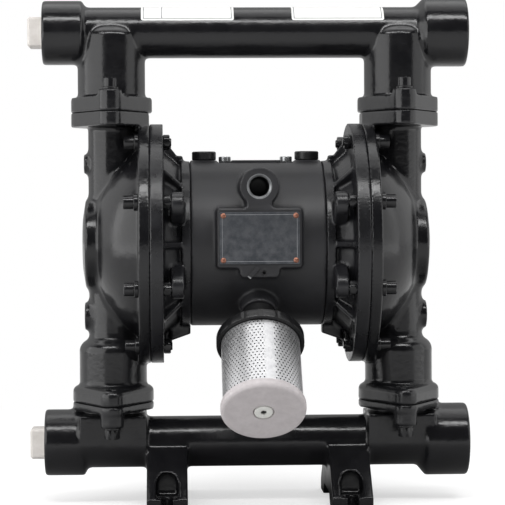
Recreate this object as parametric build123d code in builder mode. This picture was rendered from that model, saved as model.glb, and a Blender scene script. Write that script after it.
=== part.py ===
from build123d import *
import os
from math import cos, radians, sin, sqrt

# Air operated double diaphragm pump with 1-1/2 inch ports, as separate pieces.
# Millimetres. X runs along the manifolds, the front faces -Y, the floor is Z = 0,
# and the origin is the centre of the four foot slots.

os.makedirs("parts", exist_ok=True)

# ---------------------------------------------------------------- layout
column_x = 143.0            # centre plane to the axis of each fluid column
body_z = 258.0              # common axis of both diaphragms
outlet_z = 468.0            # axis of the outlet manifold
inlet_z = 60.0              # axis of the inlet manifold
outlet_joint_drop = 80.0    # outlet manifold's axis down to its joint face
inlet_joint_rise = 41.0     # inlet manifold's axis up to its joint face
port_face_x = 211.0         # end faces of both manifolds

# ---------------------------------------------------------------- manifold castings
tube_r = 25.3
tube_bore_r = 19.0
column_bore_r = 17.0
port_r = 22.4               # bore of the 1-1/2 inch pipe thread
port_depth = 26.0
port_lead_in = 1.6
open_boss_length = 42.0
plug_boss_length = 39.0
outlet_open_boss_r = 34.2
outlet_plug_boss_r = 31.8
inlet_open_boss_r = 36.0
inlet_plug_boss_r = 32.9
open_boss_taper = 9.0
plug_boss_taper = 4.0
boss_rim_round = 2.6
hub_half_y = 33.0           # block where the inlet tube meets each column
hub_inner_x = 110.0
hub_outer_x = 176.0
hub_top_drop = 12.5         # its top, under the inlet joint face
hub_neck_r = 30.5

flange_half_x = 40.2        # round middle of each two-bolt flange
flange_lug_r = 12.0
flange_bolt_y = 61.0
flange_bolt_r = 4.0
flange_hole_r = 4.5
outlet_flange_t = 15.0
outlet_lug_height = 21.0
inlet_flange_t = 7.5
inlet_lug_height = 20.5
lug_boss_r = 11.5
flange_head_r = 6.3
flange_head_height = 9.0
flange_washer_r = 8.0
flange_washer_t = 2.0

# ---------------------------------------------------------------- feet
foot_x = 90.0               # centre plane to each foot, and half the slot spacing
foot_width = 40.0
foot_plate_t = 12.0
foot_front_y = 78.0
foot_crown_y = 27.0         # half depth of a foot where it meets the tube
foot_crown_drop = 3.5       # below the tube's axis
foot_arch_y = 42.0
foot_arch_height = 11.0
slot_y = 61.0               # centre plane to the closed end of each slot
slot_r = 5.5
pocket_r = 11.0
pocket_back_y = 46.0
pocket_spring_z = 24.0      # height at which the pocket's round top starts

# ---------------------------------------------------------------- ball valves
ball_r = 20.0
ball_lift = 10.0
ball_seat_gap = 0.08
ball_guide_gap = 0.6
ball_stop_gap = 0.3
housing_r = 33.5
housing_crown_rise = 3.5    # top of the outlet housing, over the tube's axis
housing_crown_round = 9.0
seat_outer_r = 26.5
seat_bore_r = 12.5
seat_height = 12.0
seat_cone_depth = 4.5
seat_pocket_gap = 0.1
passage_lobe_r = 7.5
o_ring_r = 1.3
o_ring_squeeze = 0.1

# ---------------------------------------------------------------- diaphragm joints
seam_x = 105.5              # joint face between air cap and fluid cap
disc_edge_margin = 11.0     # bolt circle to the edge of the disc
fluid_ring_t = 10.8
air_ring_t = 13.2
disc_bolt_margin = 10.0     # edge of the diaphragm to the bolt circle
disc_bolt_count = 8
disc_bolt_r = 4.0
disc_hole_r = 4.5
head_r = 6.5
disc_head_height = 10.0
socket_key_r = 3.4          # across corners of the socket, halved
socket_depth = 4.5
washer_r = 8.2
washer_t = 4.0
nut_r = 7.5
nut_t = 6.8
thread_end = 1.6

diaphragm_t = 5.0
diaphragm_rim_r = 98.0
diaphragm_clamp_width = 11.0    # clamped rim of the rubber
diaphragm_roll = 6.0        # how far the roll stands out towards the liquid
clamp_plate_r = 46.0
air_plate_t = 7.0
fluid_plate_t = 8.0
fluid_plate_hub_r = 15.0
fluid_plate_hub_t = 5.0
stroke = 11.0               # each way from mid-stroke
stroke_end_gap = 0.5

# ---------------------------------------------------------------- fluid caps
dome_root_margin = 17.0     # bolt circle in to the root of the dome
dome_belly_r = 68.0
dome_belly_x = 143.0
end_boss_r = 45.0
end_boss_back_x = 156.5
end_boss_face_x = 172.0
end_boss_round = 3.0
end_boss_crown = 3.0        # how far its rim drops back
end_boss_flat_r = 26.0
column_r = 23.5
housing_height = 48.0       # inlet joint face to the shoulder of the ball housing
housing_shoulder = 14.0
cap_top_flange_t = 14.0
cap_foot_flange_t = 16.0
cap_foot_flange_round = 6.0
web_t = 24.0
dish_back_x = 138.0
dish_back_r = 52.0
upper_pad_drop = 50.5       # outlet joint face down to the upper pad
upper_pad_r = 9.5
lower_pad_rise = 85.0       # inlet joint face up to the lower pad
lower_pad_r = 13.5
pad_face_x = 170.8
neighbour_gap = 0.4

# ---------------------------------------------------------------- air caps and body
body_half_x = 65.7
body_r = 82.0
neck_end_x = 74.5
cone_inset = 7.0            # how far the cone starts inside the neck
cone_wall = 3.0
rib_count = 8
rib_t = 5.0
rib_neck_inset = 2.0
rib_root = 2.0              # how deep each rib's foot runs into the wall
chamber_back_r = 56.0
nut_boss_r = 12.0           # cast boss behind each nut at the front and at the rear
nut_boss_inset = 6.0        # bolt circle in to the boss's own axis
nut_boss_gap = 0.4
nut_boss_angles = (-22.5, 22.5, 157.5, 202.5)
drain_lug_width = 16.0      # triangular lug under the neck
drain_lug_inner_drop = 8.0
drain_lug_outer_drop = 15.0
locating_lug_width = 10.0
locating_lug_height = 5.5
locating_lug_length = 4.8

rod_r = 11.0
stud_r = 8.0
bush_wall = 4.0
bush_length = 20.0
running_gap = 0.05
seal_width = 6.0
seal_r = 16.0
rod_pass_gap = 0.6

pilot_z = 32.0              # height of the pilot rod above the main rod
pilot_r = 5.0
pilot_bush_r = 8.0
pilot_bush_length = 14.0
pilot_reach = 6.5           # how far each end stands into the air chamber
pilot_pass_gap = 0.5

cap_screw_ring_r = 64.0
cap_screw_count = 6
cap_screw_r = 4.0
cap_screw_head_height = 8.0
cap_screw_grip = 20.0

air_inlet_rise = 56.0       # diaphragm axis up to the air inlet
air_inlet_stand_out = 9.0   # its face, in front of the body's round
air_inlet_boss_r = 18.9
air_inlet_r = 9.8
air_inlet_lead_in = 2.4
air_inlet_depth = 34.0
inlet_neck_width = 25.0

plate_pad_width = 82.0
plate_pad_below = 22.5      # from the diaphragm axis down and up
plate_pad_above = 35.5
plate_pad_stand_out = 10.0
plate_pad_round = 3.0
tongue_width = 38.6
tongue_drop = 9.0           # below the plate pad
tongue_corner = 3.0
tongue_hole_r = 1.8
tongue_hole_x = 4.5
name_plate_width = 77.0
name_plate_height = 50.0
name_plate_t = 1.0
name_plate_rise = 6.6       # its middle, above the diaphragm axis
rivet_inset = 3.6
rivet_r = 2.7
rivet_shank_r = 1.3
rivet_grip = 3.9            # depth of each rivet's shank in the body
rivet_hole_depth = 5.2
rivet_taper = 35.0

top_flat_depth = 2.0        # flat cut into the crown of the body
top_flat_gap = 0.3
top_land_height = 1.2       # land over the crown
top_land_depth = 14.0
top_land_r = 12.6
top_plug_inset = 14.4       # from the end of the body
top_plug_r = 12.0
top_plug_height = 8.4
top_plug_chamfer = 1.0
top_plug_stem_r = 8.0
top_plug_stem_length = 12.0
cover_edge_gap = 1.8
cover_half_y = 15.0
cover_t = 1.2
cover_pad_half_x = 24.0
cover_pad_t = 1.5
cover_screw_inset = 6.0
cover_screw_r = 3.0
cover_screw_head_r = 5.1
cover_screw_head_height = 5.2
cover_screw_length = 12.0

exhaust_chamber_half_x = 38.0   # hollow round the rod, open to the muffler
exhaust_chamber_r = 68.0
rod_sleeve_r = 24.0

# ---------------------------------------------------------------- air valve, at the rear
valve_pad_stand_out = 2.0   # mounting face, behind the body's round
valve_axis_depth = 20.0     # mounting face to the axis of the spool
gasket_t = 1.0
valve_half_x = 49.0
valve_height = 66.0
valve_depth = 38.0
valve_round = 4.0
valve_cap_t = 11.0
valve_pad_margin = 3.0
sleeve_r = 16.0
sleeve_bore_r = 11.0
sleeve_port_width = 6.0
sleeve_port_r = 2.5
sleeve_port_pitch = 18.0
sleeve_port_depth = 2.0
spool_travel = 7.0          # each way from the middle, to just short of the end caps
spool_end_gap = 0.5
spool_land_width = 8.0
spool_waist_r = 7.0
valve_screw_r = 3.0
valve_screw_head_r = 5.0
valve_screw_head_height = 6.0
valve_screw_x = 30.0
valve_screw_z = 26.0
valve_screw_grip = 14.0
end_screw_z = 24.0
end_screw_y = 11.0
end_screw_grip = 10.0

# ---------------------------------------------------------------- muffler
muffler_tilt = 45.0         # degrees below the horizontal, towards the front
muffler_boss_r = 18.0
muffler_boss_stand_out = 12.0
exhaust_r = 12.0
exhaust_depth = 32.0
hub_stem_r = 15.0
nipple_length = 14.0
hub_stem_length = 32.0
collar_t = 10.4
collar_r = 41.0
collar_lobe_count = 16
collar_lobe_r = 4.6
collar_lobe_ring_r = 37.8
screen_r = 37.8
screen_t = 1.2
screen_length = 75.6
end_cap_t = 9.0
end_cap_lap = 2.0           # how far the screen stands in the end cap's groove
end_cap_r = 40.2
end_cap_round = 4.0
packing_gap = 0.3
packing_bore_r = 18.0
tie_screw_r = 4.0
tie_head_r = 8.9
tie_head_height = 3.0
tie_recess_gap = 1.0
tie_key_r = 3.6

# ---------------------------------------------------------------- port plugs
plug_length = 20.0
plug_head_width = 30.0
plug_head_length = 14.5
plug_head_chamfer = 2.0

# ---------------------------------------------------------------- worked-out sizes
SIDES = ((-1, "left"), (1, "right"))
diaphragm_axis = Axis((0, 0, body_z), (1, 0, 0))
outlet_joint_z = outlet_z - outlet_joint_drop
inlet_joint_z = inlet_z + inlet_joint_rise
housing_top_z = inlet_joint_z + housing_height
upper_pad_z = outlet_joint_z - upper_pad_drop
lower_pad_z = inlet_joint_z + lower_pad_rise
diaphragm_free_r = diaphragm_rim_r - diaphragm_clamp_width
disc_bolt_ring_r = diaphragm_rim_r + disc_bolt_margin
disc_r = disc_bolt_ring_r + disc_edge_margin
dome_root_r = disc_bolt_ring_r - dome_root_margin
fluid_ring_x = seam_x + fluid_ring_t
air_ring_x = seam_x - air_ring_t
air_plate_x = seam_x - diaphragm_t / 2 - air_plate_t
fluid_plate_x = seam_x + diaphragm_t / 2
chamber_back_x = air_plate_x - stroke - stroke_end_gap
cap_screw_seat_x = chamber_back_x - cap_screw_head_height
seat_contact_r = ball_r * cos(radians(45))
seat_cone_top_r = seat_bore_r + seat_cone_depth
ball_rest = seat_height - (seat_cone_top_r - seat_contact_r) + seat_contact_r + ball_seat_gap
ball_stop_rise = sqrt(ball_r**2 - column_bore_r**2)
cavity_height = ball_rest + ball_lift + ball_stop_rise + ball_stop_gap
muffler_down = (0, -cos(radians(muffler_tilt)), -sin(radians(muffler_tilt)))
pilot_height = body_z + pilot_z
nut_face_x = air_ring_x - nut_t
cone_small_r = body_r - cone_inset
cone_large_r = diaphragm_free_r + cone_wall
body_top_z = body_z + body_r
top_flat_z = body_top_z - top_flat_depth
top_land_z = body_top_z + top_land_height
top_plug_x = body_half_x - top_plug_inset
top_flat_half_x = top_plug_x - top_land_r - top_flat_gap
cover_half_x = top_flat_half_x - cover_edge_gap
cover_screw_x = cover_half_x - cover_screw_inset
air_inlet_z = body_z + air_inlet_rise
air_inlet_face_y = body_r + air_inlet_stand_out
plate_pad_low_z = body_z - plate_pad_below
plate_pad_high_z = body_z + plate_pad_above
plate_pad_face_y = body_r + plate_pad_stand_out
tongue_low_z = plate_pad_low_z - tongue_drop
name_plate_z = body_z + name_plate_rise
valve_seat_y = body_r + valve_pad_stand_out
valve_y = valve_seat_y + valve_axis_depth
muffler_boss_end = body_r + muffler_boss_stand_out
collar_start = muffler_boss_end + hub_stem_length
collar_end = collar_start + collar_t
screen_end = collar_end + screen_length
end_cap_start = screen_end - end_cap_lap
end_cap_end = end_cap_start + end_cap_t
spool_half_x = valve_half_x - spool_travel - spool_end_gap


def axial_plane(side, distance):
    """Plane square to the diaphragm axis, facing outwards, with its own Y upright."""
    return Plane(origin=(side * distance, 0, body_z), x_dir=(0, side, 0), z_dir=(side, 0, 0))


def muffler_plane(distance):
    """Plane square to the muffler's axis, facing its free end."""
    origin = tuple(base + distance * step for base, step in zip((0, 0, body_z), muffler_down))
    return Plane(origin=origin, x_dir=(1, 0, 0), z_dir=muffler_down)


def radial_plane(side, angle):
    """Plane through the diaphragm axis whose own X runs outwards and own Y is the radius."""
    turn = radians(angle)
    normal = (0, -side * sin(turn), side * cos(turn))
    return Plane(origin=(0, 0, body_z), x_dir=(side, 0, 0), z_dir=normal)


def front_outline(*points):
    """Closed outline in the XZ plane."""
    with BuildSketch(Plane.XZ) as outline:
        with BuildLine():
            Polyline(*points, close=True)
        make_face()
    return outline.sketch


def turned_outline(side, *points):
    """Outline of a piece turned about the diaphragm axis, as (distance out, radius)."""
    return front_outline(*[(side * x, body_z + r) for x, r in points])


def two_bolt_outline(side, z):
    """Round flange drawn out to a bolt lug at the front and one at the rear."""
    with BuildSketch(Plane.XY.offset(z)) as outline:
        with Locations((side * column_x, 0)):
            Circle(flange_half_x)
            with Locations((0, flange_bolt_y), (0, -flange_bolt_y)):
                Circle(flange_lug_r)
        make_hull()
    return outline.sketch


def disc_points(side, distance, radius):
    """Circles on the disc's bolt circle, straddling the upright centre line."""
    with BuildSketch(axial_plane(side, distance)) as circles:
        with PolarLocations(disc_bolt_ring_r, disc_bolt_count, 180 / disc_bolt_count):
            Circle(radius)
    return circles.sketch


def ball_passage(side, z):
    """Section of a ball's cage: the ball's own bore with four flow channels round it."""
    with BuildSketch(Plane.XY.offset(z)) as outline:
        with Locations((side * column_x, 0)):
            Circle(ball_r + ball_guide_gap)
            with PolarLocations(seat_outer_r - passage_lobe_r, 4, 45):
                Circle(passage_lobe_r)
    return outline.sketch


def column_circle(side, z, radius):
    with BuildSketch(Plane.XY.offset(z)) as circle:
        with Locations((side * column_x, 0)):
            Circle(radius)
    return circle.sketch


def lug_circles(side, z, radius):
    """Circles on both bolt lugs of a two-bolt flange."""
    with BuildSketch(Plane.XY.offset(z)) as circles:
        with Locations((side * column_x, flange_bolt_y), (side * column_x, -flange_bolt_y)):
            Circle(radius)
    return circles.sketch


def tube_outline(z, plug_boss_r, open_boss_r):
    """Outside of a manifold tube with a boss at each end."""
    plug_x = port_face_x - plug_boss_length
    open_x = port_face_x - open_boss_length
    with BuildSketch(Plane.XZ) as outline:
        with BuildLine():
            Polyline(
                (-port_face_x, z),
                (-port_face_x, z + plug_boss_r),
                (-plug_x, z + plug_boss_r),
                (-plug_x + plug_boss_taper, z + tube_r),
                (open_x - open_boss_taper, z + tube_r),
                (open_x, z + open_boss_r),
                (port_face_x, z + open_boss_r),
                (port_face_x, z),
                close=True,
            )
        make_face()
        rims = outline.vertices().filter_by_position(Axis.Y, z + tube_r + boss_rim_round, z + open_boss_r)
        fillet(rims, boss_rim_round)
    return outline.sketch


def tube_bore(z):
    """Inside of a manifold tube with a threaded port at each end."""
    port_end = port_face_x - port_depth
    lead_end = port_face_x - port_lead_in
    lead_r = port_r + port_lead_in
    half = [(port_face_x, lead_r), (lead_end, port_r), (port_end, port_r), (port_end, tube_bore_r)]
    right = [(x, z + r) for x, r in half]
    left = [(-x, z + r) for x, r in reversed(half)]
    return front_outline((port_face_x, z), *right, *left, (-port_face_x, z))


def save(piece, name):
    piece.part.label = name
    export_step(piece.part, f"parts/{name}.step")


# ---------------------------------------------------------------- outlet manifold
outlet_axis = Axis((0, 0, outlet_z), (1, 0, 0))
crown_z = outlet_z + housing_crown_rise
with BuildPart() as outlet_manifold:
    revolve(tube_outline(outlet_z, outlet_plug_boss_r, outlet_open_boss_r), axis=outlet_axis)
    for side, hand in SIDES:
        extrude(two_bolt_outline(side, outlet_joint_z), amount=outlet_flange_t)
        extrude(lug_circles(side, outlet_joint_z, lug_boss_r), amount=outlet_lug_height)
        housing_x = side * (column_x + housing_r)
        with BuildSketch(Plane.XZ) as housing:
            with BuildLine():
                Polyline(
                    (side * column_x, outlet_joint_z),
                    (housing_x, outlet_joint_z),
                    (housing_x, crown_z),
                    (side * column_x, crown_z),
                    close=True,
                )
            make_face()
            crown = housing.vertices().sort_by_distance((housing_x, crown_z))[0]
            fillet(crown, housing_crown_round)
        revolve(axis=Axis((side * column_x, 0, 0), (0, 0, 1)))
    revolve(tube_bore(outlet_z), axis=outlet_axis, mode=Mode.SUBTRACT)
    for side, hand in SIDES:
        seat_pocket = column_circle(side, outlet_joint_z, seat_outer_r + seat_pocket_gap)
        extrude(seat_pocket, amount=seat_height, mode=Mode.SUBTRACT)
        extrude(ball_passage(side, outlet_joint_z), amount=cavity_height, mode=Mode.SUBTRACT)
        bore = column_circle(side, outlet_joint_z, column_bore_r)
        extrude(bore, amount=outlet_z - outlet_joint_z, mode=Mode.SUBTRACT)
        screw_holes = lug_circles(side, outlet_joint_z, flange_hole_r)
        extrude(screw_holes, amount=outlet_lug_height, mode=Mode.SUBTRACT)
save(outlet_manifold, "outlet_manifold")

# ---------------------------------------------------------------- inlet manifold with feet
inlet_axis = Axis((0, 0, inlet_z), (1, 0, 0))
with BuildPart() as inlet_manifold:
    revolve(tube_outline(inlet_z, inlet_plug_boss_r, inlet_open_boss_r), axis=inlet_axis)
    for side, hand in SIDES:
        extrude(two_bolt_outline(side, inlet_joint_z), amount=-inlet_flange_t)
        extrude(lug_circles(side, inlet_joint_z, lug_boss_r), amount=-inlet_lug_height)
        extrude(column_circle(side, inlet_joint_z, hub_neck_r), amount=inlet_z - inlet_joint_z)
        # hub: a block with upright sides and a round underside
        hub_top_z = inlet_joint_z - hub_top_drop
        with BuildSketch(Plane.YZ.offset(side * hub_inner_x)) as hub:
            with Locations((0, inlet_z)):
                Ellipse(hub_half_y, tube_r)
            with Locations((0, (inlet_z + hub_top_z) / 2)):
                Rectangle(2 * hub_half_y, hub_top_z - inlet_z)
        extrude(amount=side * (hub_outer_x - hub_inner_x))
        # foot: a saddle that spreads from the tube to a plate front and rear
        with BuildSketch(Plane.YZ.offset(side * foot_x)) as foot_side:
            with BuildLine():
                Polyline(
                    (-foot_arch_y, 0),
                    (-foot_front_y, 0),
                    (-foot_front_y, foot_plate_t),
                    (-foot_crown_y, inlet_z - foot_crown_drop),
                    (foot_crown_y, inlet_z - foot_crown_drop),
                    (foot_front_y, foot_plate_t),
                    (foot_front_y, 0),
                    (foot_arch_y, 0),
                    (foot_arch_y - foot_arch_height, foot_arch_height),
                    (foot_arch_height - foot_arch_y, foot_arch_height),
                    close=True,
                )
            make_face()
        extrude(amount=foot_width / 2, both=True)
    # wrench pockets with round tops, and slots open to the front and to the rear
    for facing in (-1, 1):
        pocket_depth = foot_front_y - pocket_back_y
        with BuildSketch(Plane.XZ.offset(-facing * pocket_back_y)) as pockets:
            with Locations((-foot_x, pocket_spring_z), (foot_x, pocket_spring_z)):
                Circle(pocket_r)
            pocket_low = pocket_spring_z - foot_plate_t
            with Locations(
                (-foot_x, foot_plate_t + pocket_low / 2),
                (foot_x, foot_plate_t + pocket_low / 2),
            ):
                Rectangle(2 * pocket_r, pocket_low)
        extrude(amount=-facing * pocket_depth, mode=Mode.SUBTRACT)
        with BuildSketch(Plane.XY) as slots:
            slot_end_y = facing * slot_y
            open_length = foot_front_y - slot_y
            with Locations((-foot_x, slot_end_y), (foot_x, slot_end_y)):
                Circle(slot_r)
            with Locations(
                (-foot_x, slot_end_y + facing * open_length / 2),
                (foot_x, slot_end_y + facing * open_length / 2),
            ):
                Rectangle(2 * slot_r, open_length)
        extrude(amount=foot_plate_t, mode=Mode.SUBTRACT)
    revolve(tube_bore(inlet_z), axis=inlet_axis, mode=Mode.SUBTRACT)
    for side, hand in SIDES:
        bore = column_circle(side, inlet_joint_z, column_bore_r)
        extrude(bore, amount=inlet_z - inlet_joint_z, mode=Mode.SUBTRACT)
        bolt_holes = lug_circles(side, inlet_joint_z, flange_hole_r)
        extrude(bolt_holes, amount=-inlet_lug_height, mode=Mode.SUBTRACT)
save(inlet_manifold, "inlet_manifold")

# ---------------------------------------------------------------- fluid caps
for side, hand in SIDES:
    column_axis = Axis((side * column_x, 0, 0), (0, 0, 1))
    with BuildPart() as fluid_cap:
        # foot flange, rounded all along its upper edge
        extrude(two_bolt_outline(side, inlet_joint_z), amount=cap_foot_flange_t)
        fillet(fluid_cap.edges().group_by(Axis.Z)[-1], cap_foot_flange_round)
        # head flange, trimmed where it stands over the air cap's ring
        extrude(two_bolt_outline(side, outlet_joint_z), amount=-cap_top_flange_t)
        with BuildSketch(Plane.XY.offset(outlet_joint_z)) as trim:
            with Locations((side * (seam_x + neighbour_gap), 0)):
                trim_align = Align.MAX if side > 0 else Align.MIN
                Rectangle(flange_half_x, 2 * disc_r, align=(trim_align, Align.CENTER))
        extrude(amount=-cap_top_flange_t, mode=Mode.SUBTRACT)
        # ring, dome and round end boss
        with BuildSketch(Plane.XZ) as dome:
            with BuildLine():
                Polyline(
                    (side * end_boss_back_x, body_z + end_boss_r),
                    (side * (end_boss_face_x - end_boss_crown), body_z + end_boss_r),
                    (side * end_boss_face_x, body_z + end_boss_flat_r),
                    (side * end_boss_face_x, body_z),
                    (side * seam_x, body_z),
                    (side * seam_x, body_z + disc_r),
                    (side * fluid_ring_x, body_z + disc_r),
                    (side * fluid_ring_x, body_z + dome_root_r),
                )
                ThreePointArc(
                    (side * fluid_ring_x, body_z + dome_root_r),
                    (side * dome_belly_x, body_z + dome_belly_r),
                    (side * end_boss_back_x, body_z + end_boss_r),
                )
            make_face()
            rim_x = side * (end_boss_face_x - end_boss_crown)
            rim = dome.vertices().sort_by_distance((rim_x, body_z + end_boss_r))[0]
            fillet(rim, end_boss_round)
        revolve(axis=diaphragm_axis)
        # column from foot to head, with the ball housing at its foot
        column_height = outlet_joint_z - inlet_joint_z
        extrude(column_circle(side, inlet_joint_z, column_r), amount=column_height)
        with BuildSketch(Plane.XZ) as housing:
            with BuildLine():
                inner_x = side * column_x
                shoulder_z = housing_top_z + housing_shoulder
                Polyline(
                    (inner_x, shoulder_z),
                    (inner_x, inlet_joint_z),
                    (inner_x + side * housing_r, inlet_joint_z),
                    (inner_x + side * housing_r, housing_top_z),
                )
                round_share = cos(radians(45))
                ThreePointArc(
                    (inner_x + side * housing_r, housing_top_z),
                    (
                        inner_x + side * (column_r + (housing_r - column_r) * round_share),
                        housing_top_z + housing_shoulder * round_share,
                    ),
                    (inner_x + side * column_r, shoulder_z),
                )
                Line((inner_x + side * column_r, shoulder_z), (inner_x, shoulder_z))
            make_face()
        revolve(axis=column_axis)
        # web in the centre plane that ties the column to the ring
        web_low_z = inlet_joint_z + cap_foot_flange_t
        web_high_z = outlet_joint_z - cap_top_flange_t
        web_clear_r = sqrt(disc_r**2 - (web_t / 2) ** 2)
        web = front_outline(
            (side * column_x, web_high_z),
            (side * seam_x, body_z + web_clear_r - fluid_ring_t),
            (side * seam_x, body_z - web_clear_r + fluid_ring_t),
            (side * (column_x - housing_r / 2), web_low_z),
            (side * column_x, web_low_z),
        )
        extrude(web, amount=web_t / 2, both=True)
        # cast pads on the outer side of the column
        for pad_z, pad_r in ((upper_pad_z, upper_pad_r), (lower_pad_z, lower_pad_r)):
            with BuildSketch(Plane(origin=(side * column_x, 0, pad_z), z_dir=(side, 0, 0))):
                Circle(pad_r)
            extrude(amount=pad_face_x - column_x)
        # diaphragm chamber, clamping groove and liquid passages
        groove = turned_outline(
            side,
            (seam_x, 0),
            (seam_x, diaphragm_rim_r),
            (seam_x + diaphragm_t / 2, diaphragm_rim_r),
            (seam_x + diaphragm_t / 2, diaphragm_free_r),
            (dish_back_x, dish_back_r),
            (dish_back_x, 0),
        )
        revolve(groove, axis=diaphragm_axis, mode=Mode.SUBTRACT)
        seat_pocket = column_circle(side, inlet_joint_z, seat_outer_r + seat_pocket_gap)
        extrude(seat_pocket, amount=seat_height, mode=Mode.SUBTRACT)
        extrude(ball_passage(side, inlet_joint_z), amount=cavity_height, mode=Mode.SUBTRACT)
        bore = column_circle(side, inlet_joint_z, column_bore_r)
        extrude(bore, amount=column_height, mode=Mode.SUBTRACT)
        # tapped holes in both flanges, clearance holes round the ring
        foot_holes = lug_circles(side, inlet_joint_z, flange_bolt_r)
        extrude(foot_holes, amount=cap_foot_flange_t, mode=Mode.SUBTRACT)
        head_holes = lug_circles(side, outlet_joint_z, flange_bolt_r)
        extrude(head_holes, amount=-cap_top_flange_t, mode=Mode.SUBTRACT)
        ring_holes = disc_points(side, seam_x, disc_hole_r)
        extrude(ring_holes, amount=fluid_ring_t, mode=Mode.SUBTRACT)
    save(fluid_cap, f"fluid_cap_{hand}")

# ---------------------------------------------------------------- air caps
for side, hand in SIDES:
    with BuildPart() as air_cap:
        shell = turned_outline(
            side,
            (body_half_x, 0),
            (body_half_x, body_r),
            (neck_end_x, body_r),
            (neck_end_x, cone_small_r),
            (air_ring_x, cone_large_r),
            (air_ring_x, disc_r),
            (seam_x, disc_r),
            (seam_x, 0),
        )
        revolve(shell, axis=diaphragm_axis)
        # triangular ribs from the neck out to the ring, between the bolts
        for number in range(rib_count):
            with BuildSketch(radial_plane(side, 360 / rib_count * number)) as rib:
                with BuildLine():
                    Polyline(
                        (neck_end_x - rib_root, cone_small_r - rib_root),
                        (neck_end_x - rib_root, body_r - rib_neck_inset),
                        (air_ring_x + rib_root, disc_bolt_ring_r),
                        (air_ring_x + rib_root, cone_large_r - rib_root),
                        close=True,
                    )
                make_face()
            extrude(amount=rib_t / 2, both=True)
        # boss behind each front and rear nut, drawn in to the cone
        for angle in nut_boss_angles:
            with BuildSketch(axial_plane(side, neck_end_x - rib_root)) as nut_boss:
                with PolarLocations(0, 1, angle):
                    with Locations((disc_bolt_ring_r - nut_boss_inset, 0), (cone_small_r, 0)):
                        Circle(nut_boss_r)
                make_hull()
            extrude(amount=nut_face_x - nut_boss_gap - neck_end_x + rib_root)
        # triangular lug under the neck
        drain_lug = front_outline(
            (side * body_half_x, body_z),
            (side * body_half_x, body_z - body_r - drain_lug_inner_drop),
            (side * nut_face_x, body_z - body_r - drain_lug_outer_drop),
            (side * nut_face_x, body_z),
        )
        extrude(drain_lug, amount=drain_lug_width / 2, both=True)
        # small locating lug on top of the neck
        with BuildSketch(axial_plane(side, neck_end_x - rib_root)) as lug:
            with Locations((0, body_r)):
                lug_align = (Align.CENTER, Align.MIN)
                Rectangle(locating_lug_width, locating_lug_height, align=lug_align)
            with Locations((0, body_r)):
                Rectangle(locating_lug_width, 2 * rib_t, align=(Align.CENTER, Align.MAX))
        extrude(amount=locating_lug_length)
        # air chamber and clamping groove
        chamber = turned_outline(
            side,
            (seam_x, 0),
            (seam_x, diaphragm_rim_r),
            (seam_x - diaphragm_t / 2, diaphragm_rim_r),
            (seam_x - diaphragm_t / 2, diaphragm_free_r),
            (chamber_back_x, chamber_back_r),
            (chamber_back_x, 0),
        )
        revolve(chamber, axis=diaphragm_axis, mode=Mode.SUBTRACT)
        # rod passage with the seal's seat, and the pilot rod's passage
        with BuildSketch(axial_plane(side, body_half_x)) as seal_seat:
            Circle(seal_r)
        extrude(amount=seal_width, mode=Mode.SUBTRACT)
        with BuildSketch(axial_plane(side, body_half_x)) as passages:
            Circle(rod_r + rod_pass_gap)
            with Locations((0, pilot_z)):
                Circle(pilot_r + pilot_pass_gap)
        extrude(amount=seam_x, mode=Mode.SUBTRACT)
        # counterbored holes for the screws into the body
        with BuildSketch(axial_plane(side, body_half_x)) as screw_holes:
            with PolarLocations(cap_screw_ring_r, cap_screw_count):
                Circle(cap_screw_r + running_gap)
        extrude(amount=seam_x, mode=Mode.SUBTRACT)
        with BuildSketch(axial_plane(side, cap_screw_seat_x)) as head_seats:
            with PolarLocations(cap_screw_ring_r, cap_screw_count):
                Circle(head_r + neighbour_gap)
        extrude(amount=seam_x - cap_screw_seat_x, mode=Mode.SUBTRACT)
        ring_holes = disc_points(side, seam_x, disc_hole_r)
        extrude(ring_holes, amount=neck_end_x - rib_root - seam_x, mode=Mode.SUBTRACT)
    save(air_cap, f"air_cap_{hand}")

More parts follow.
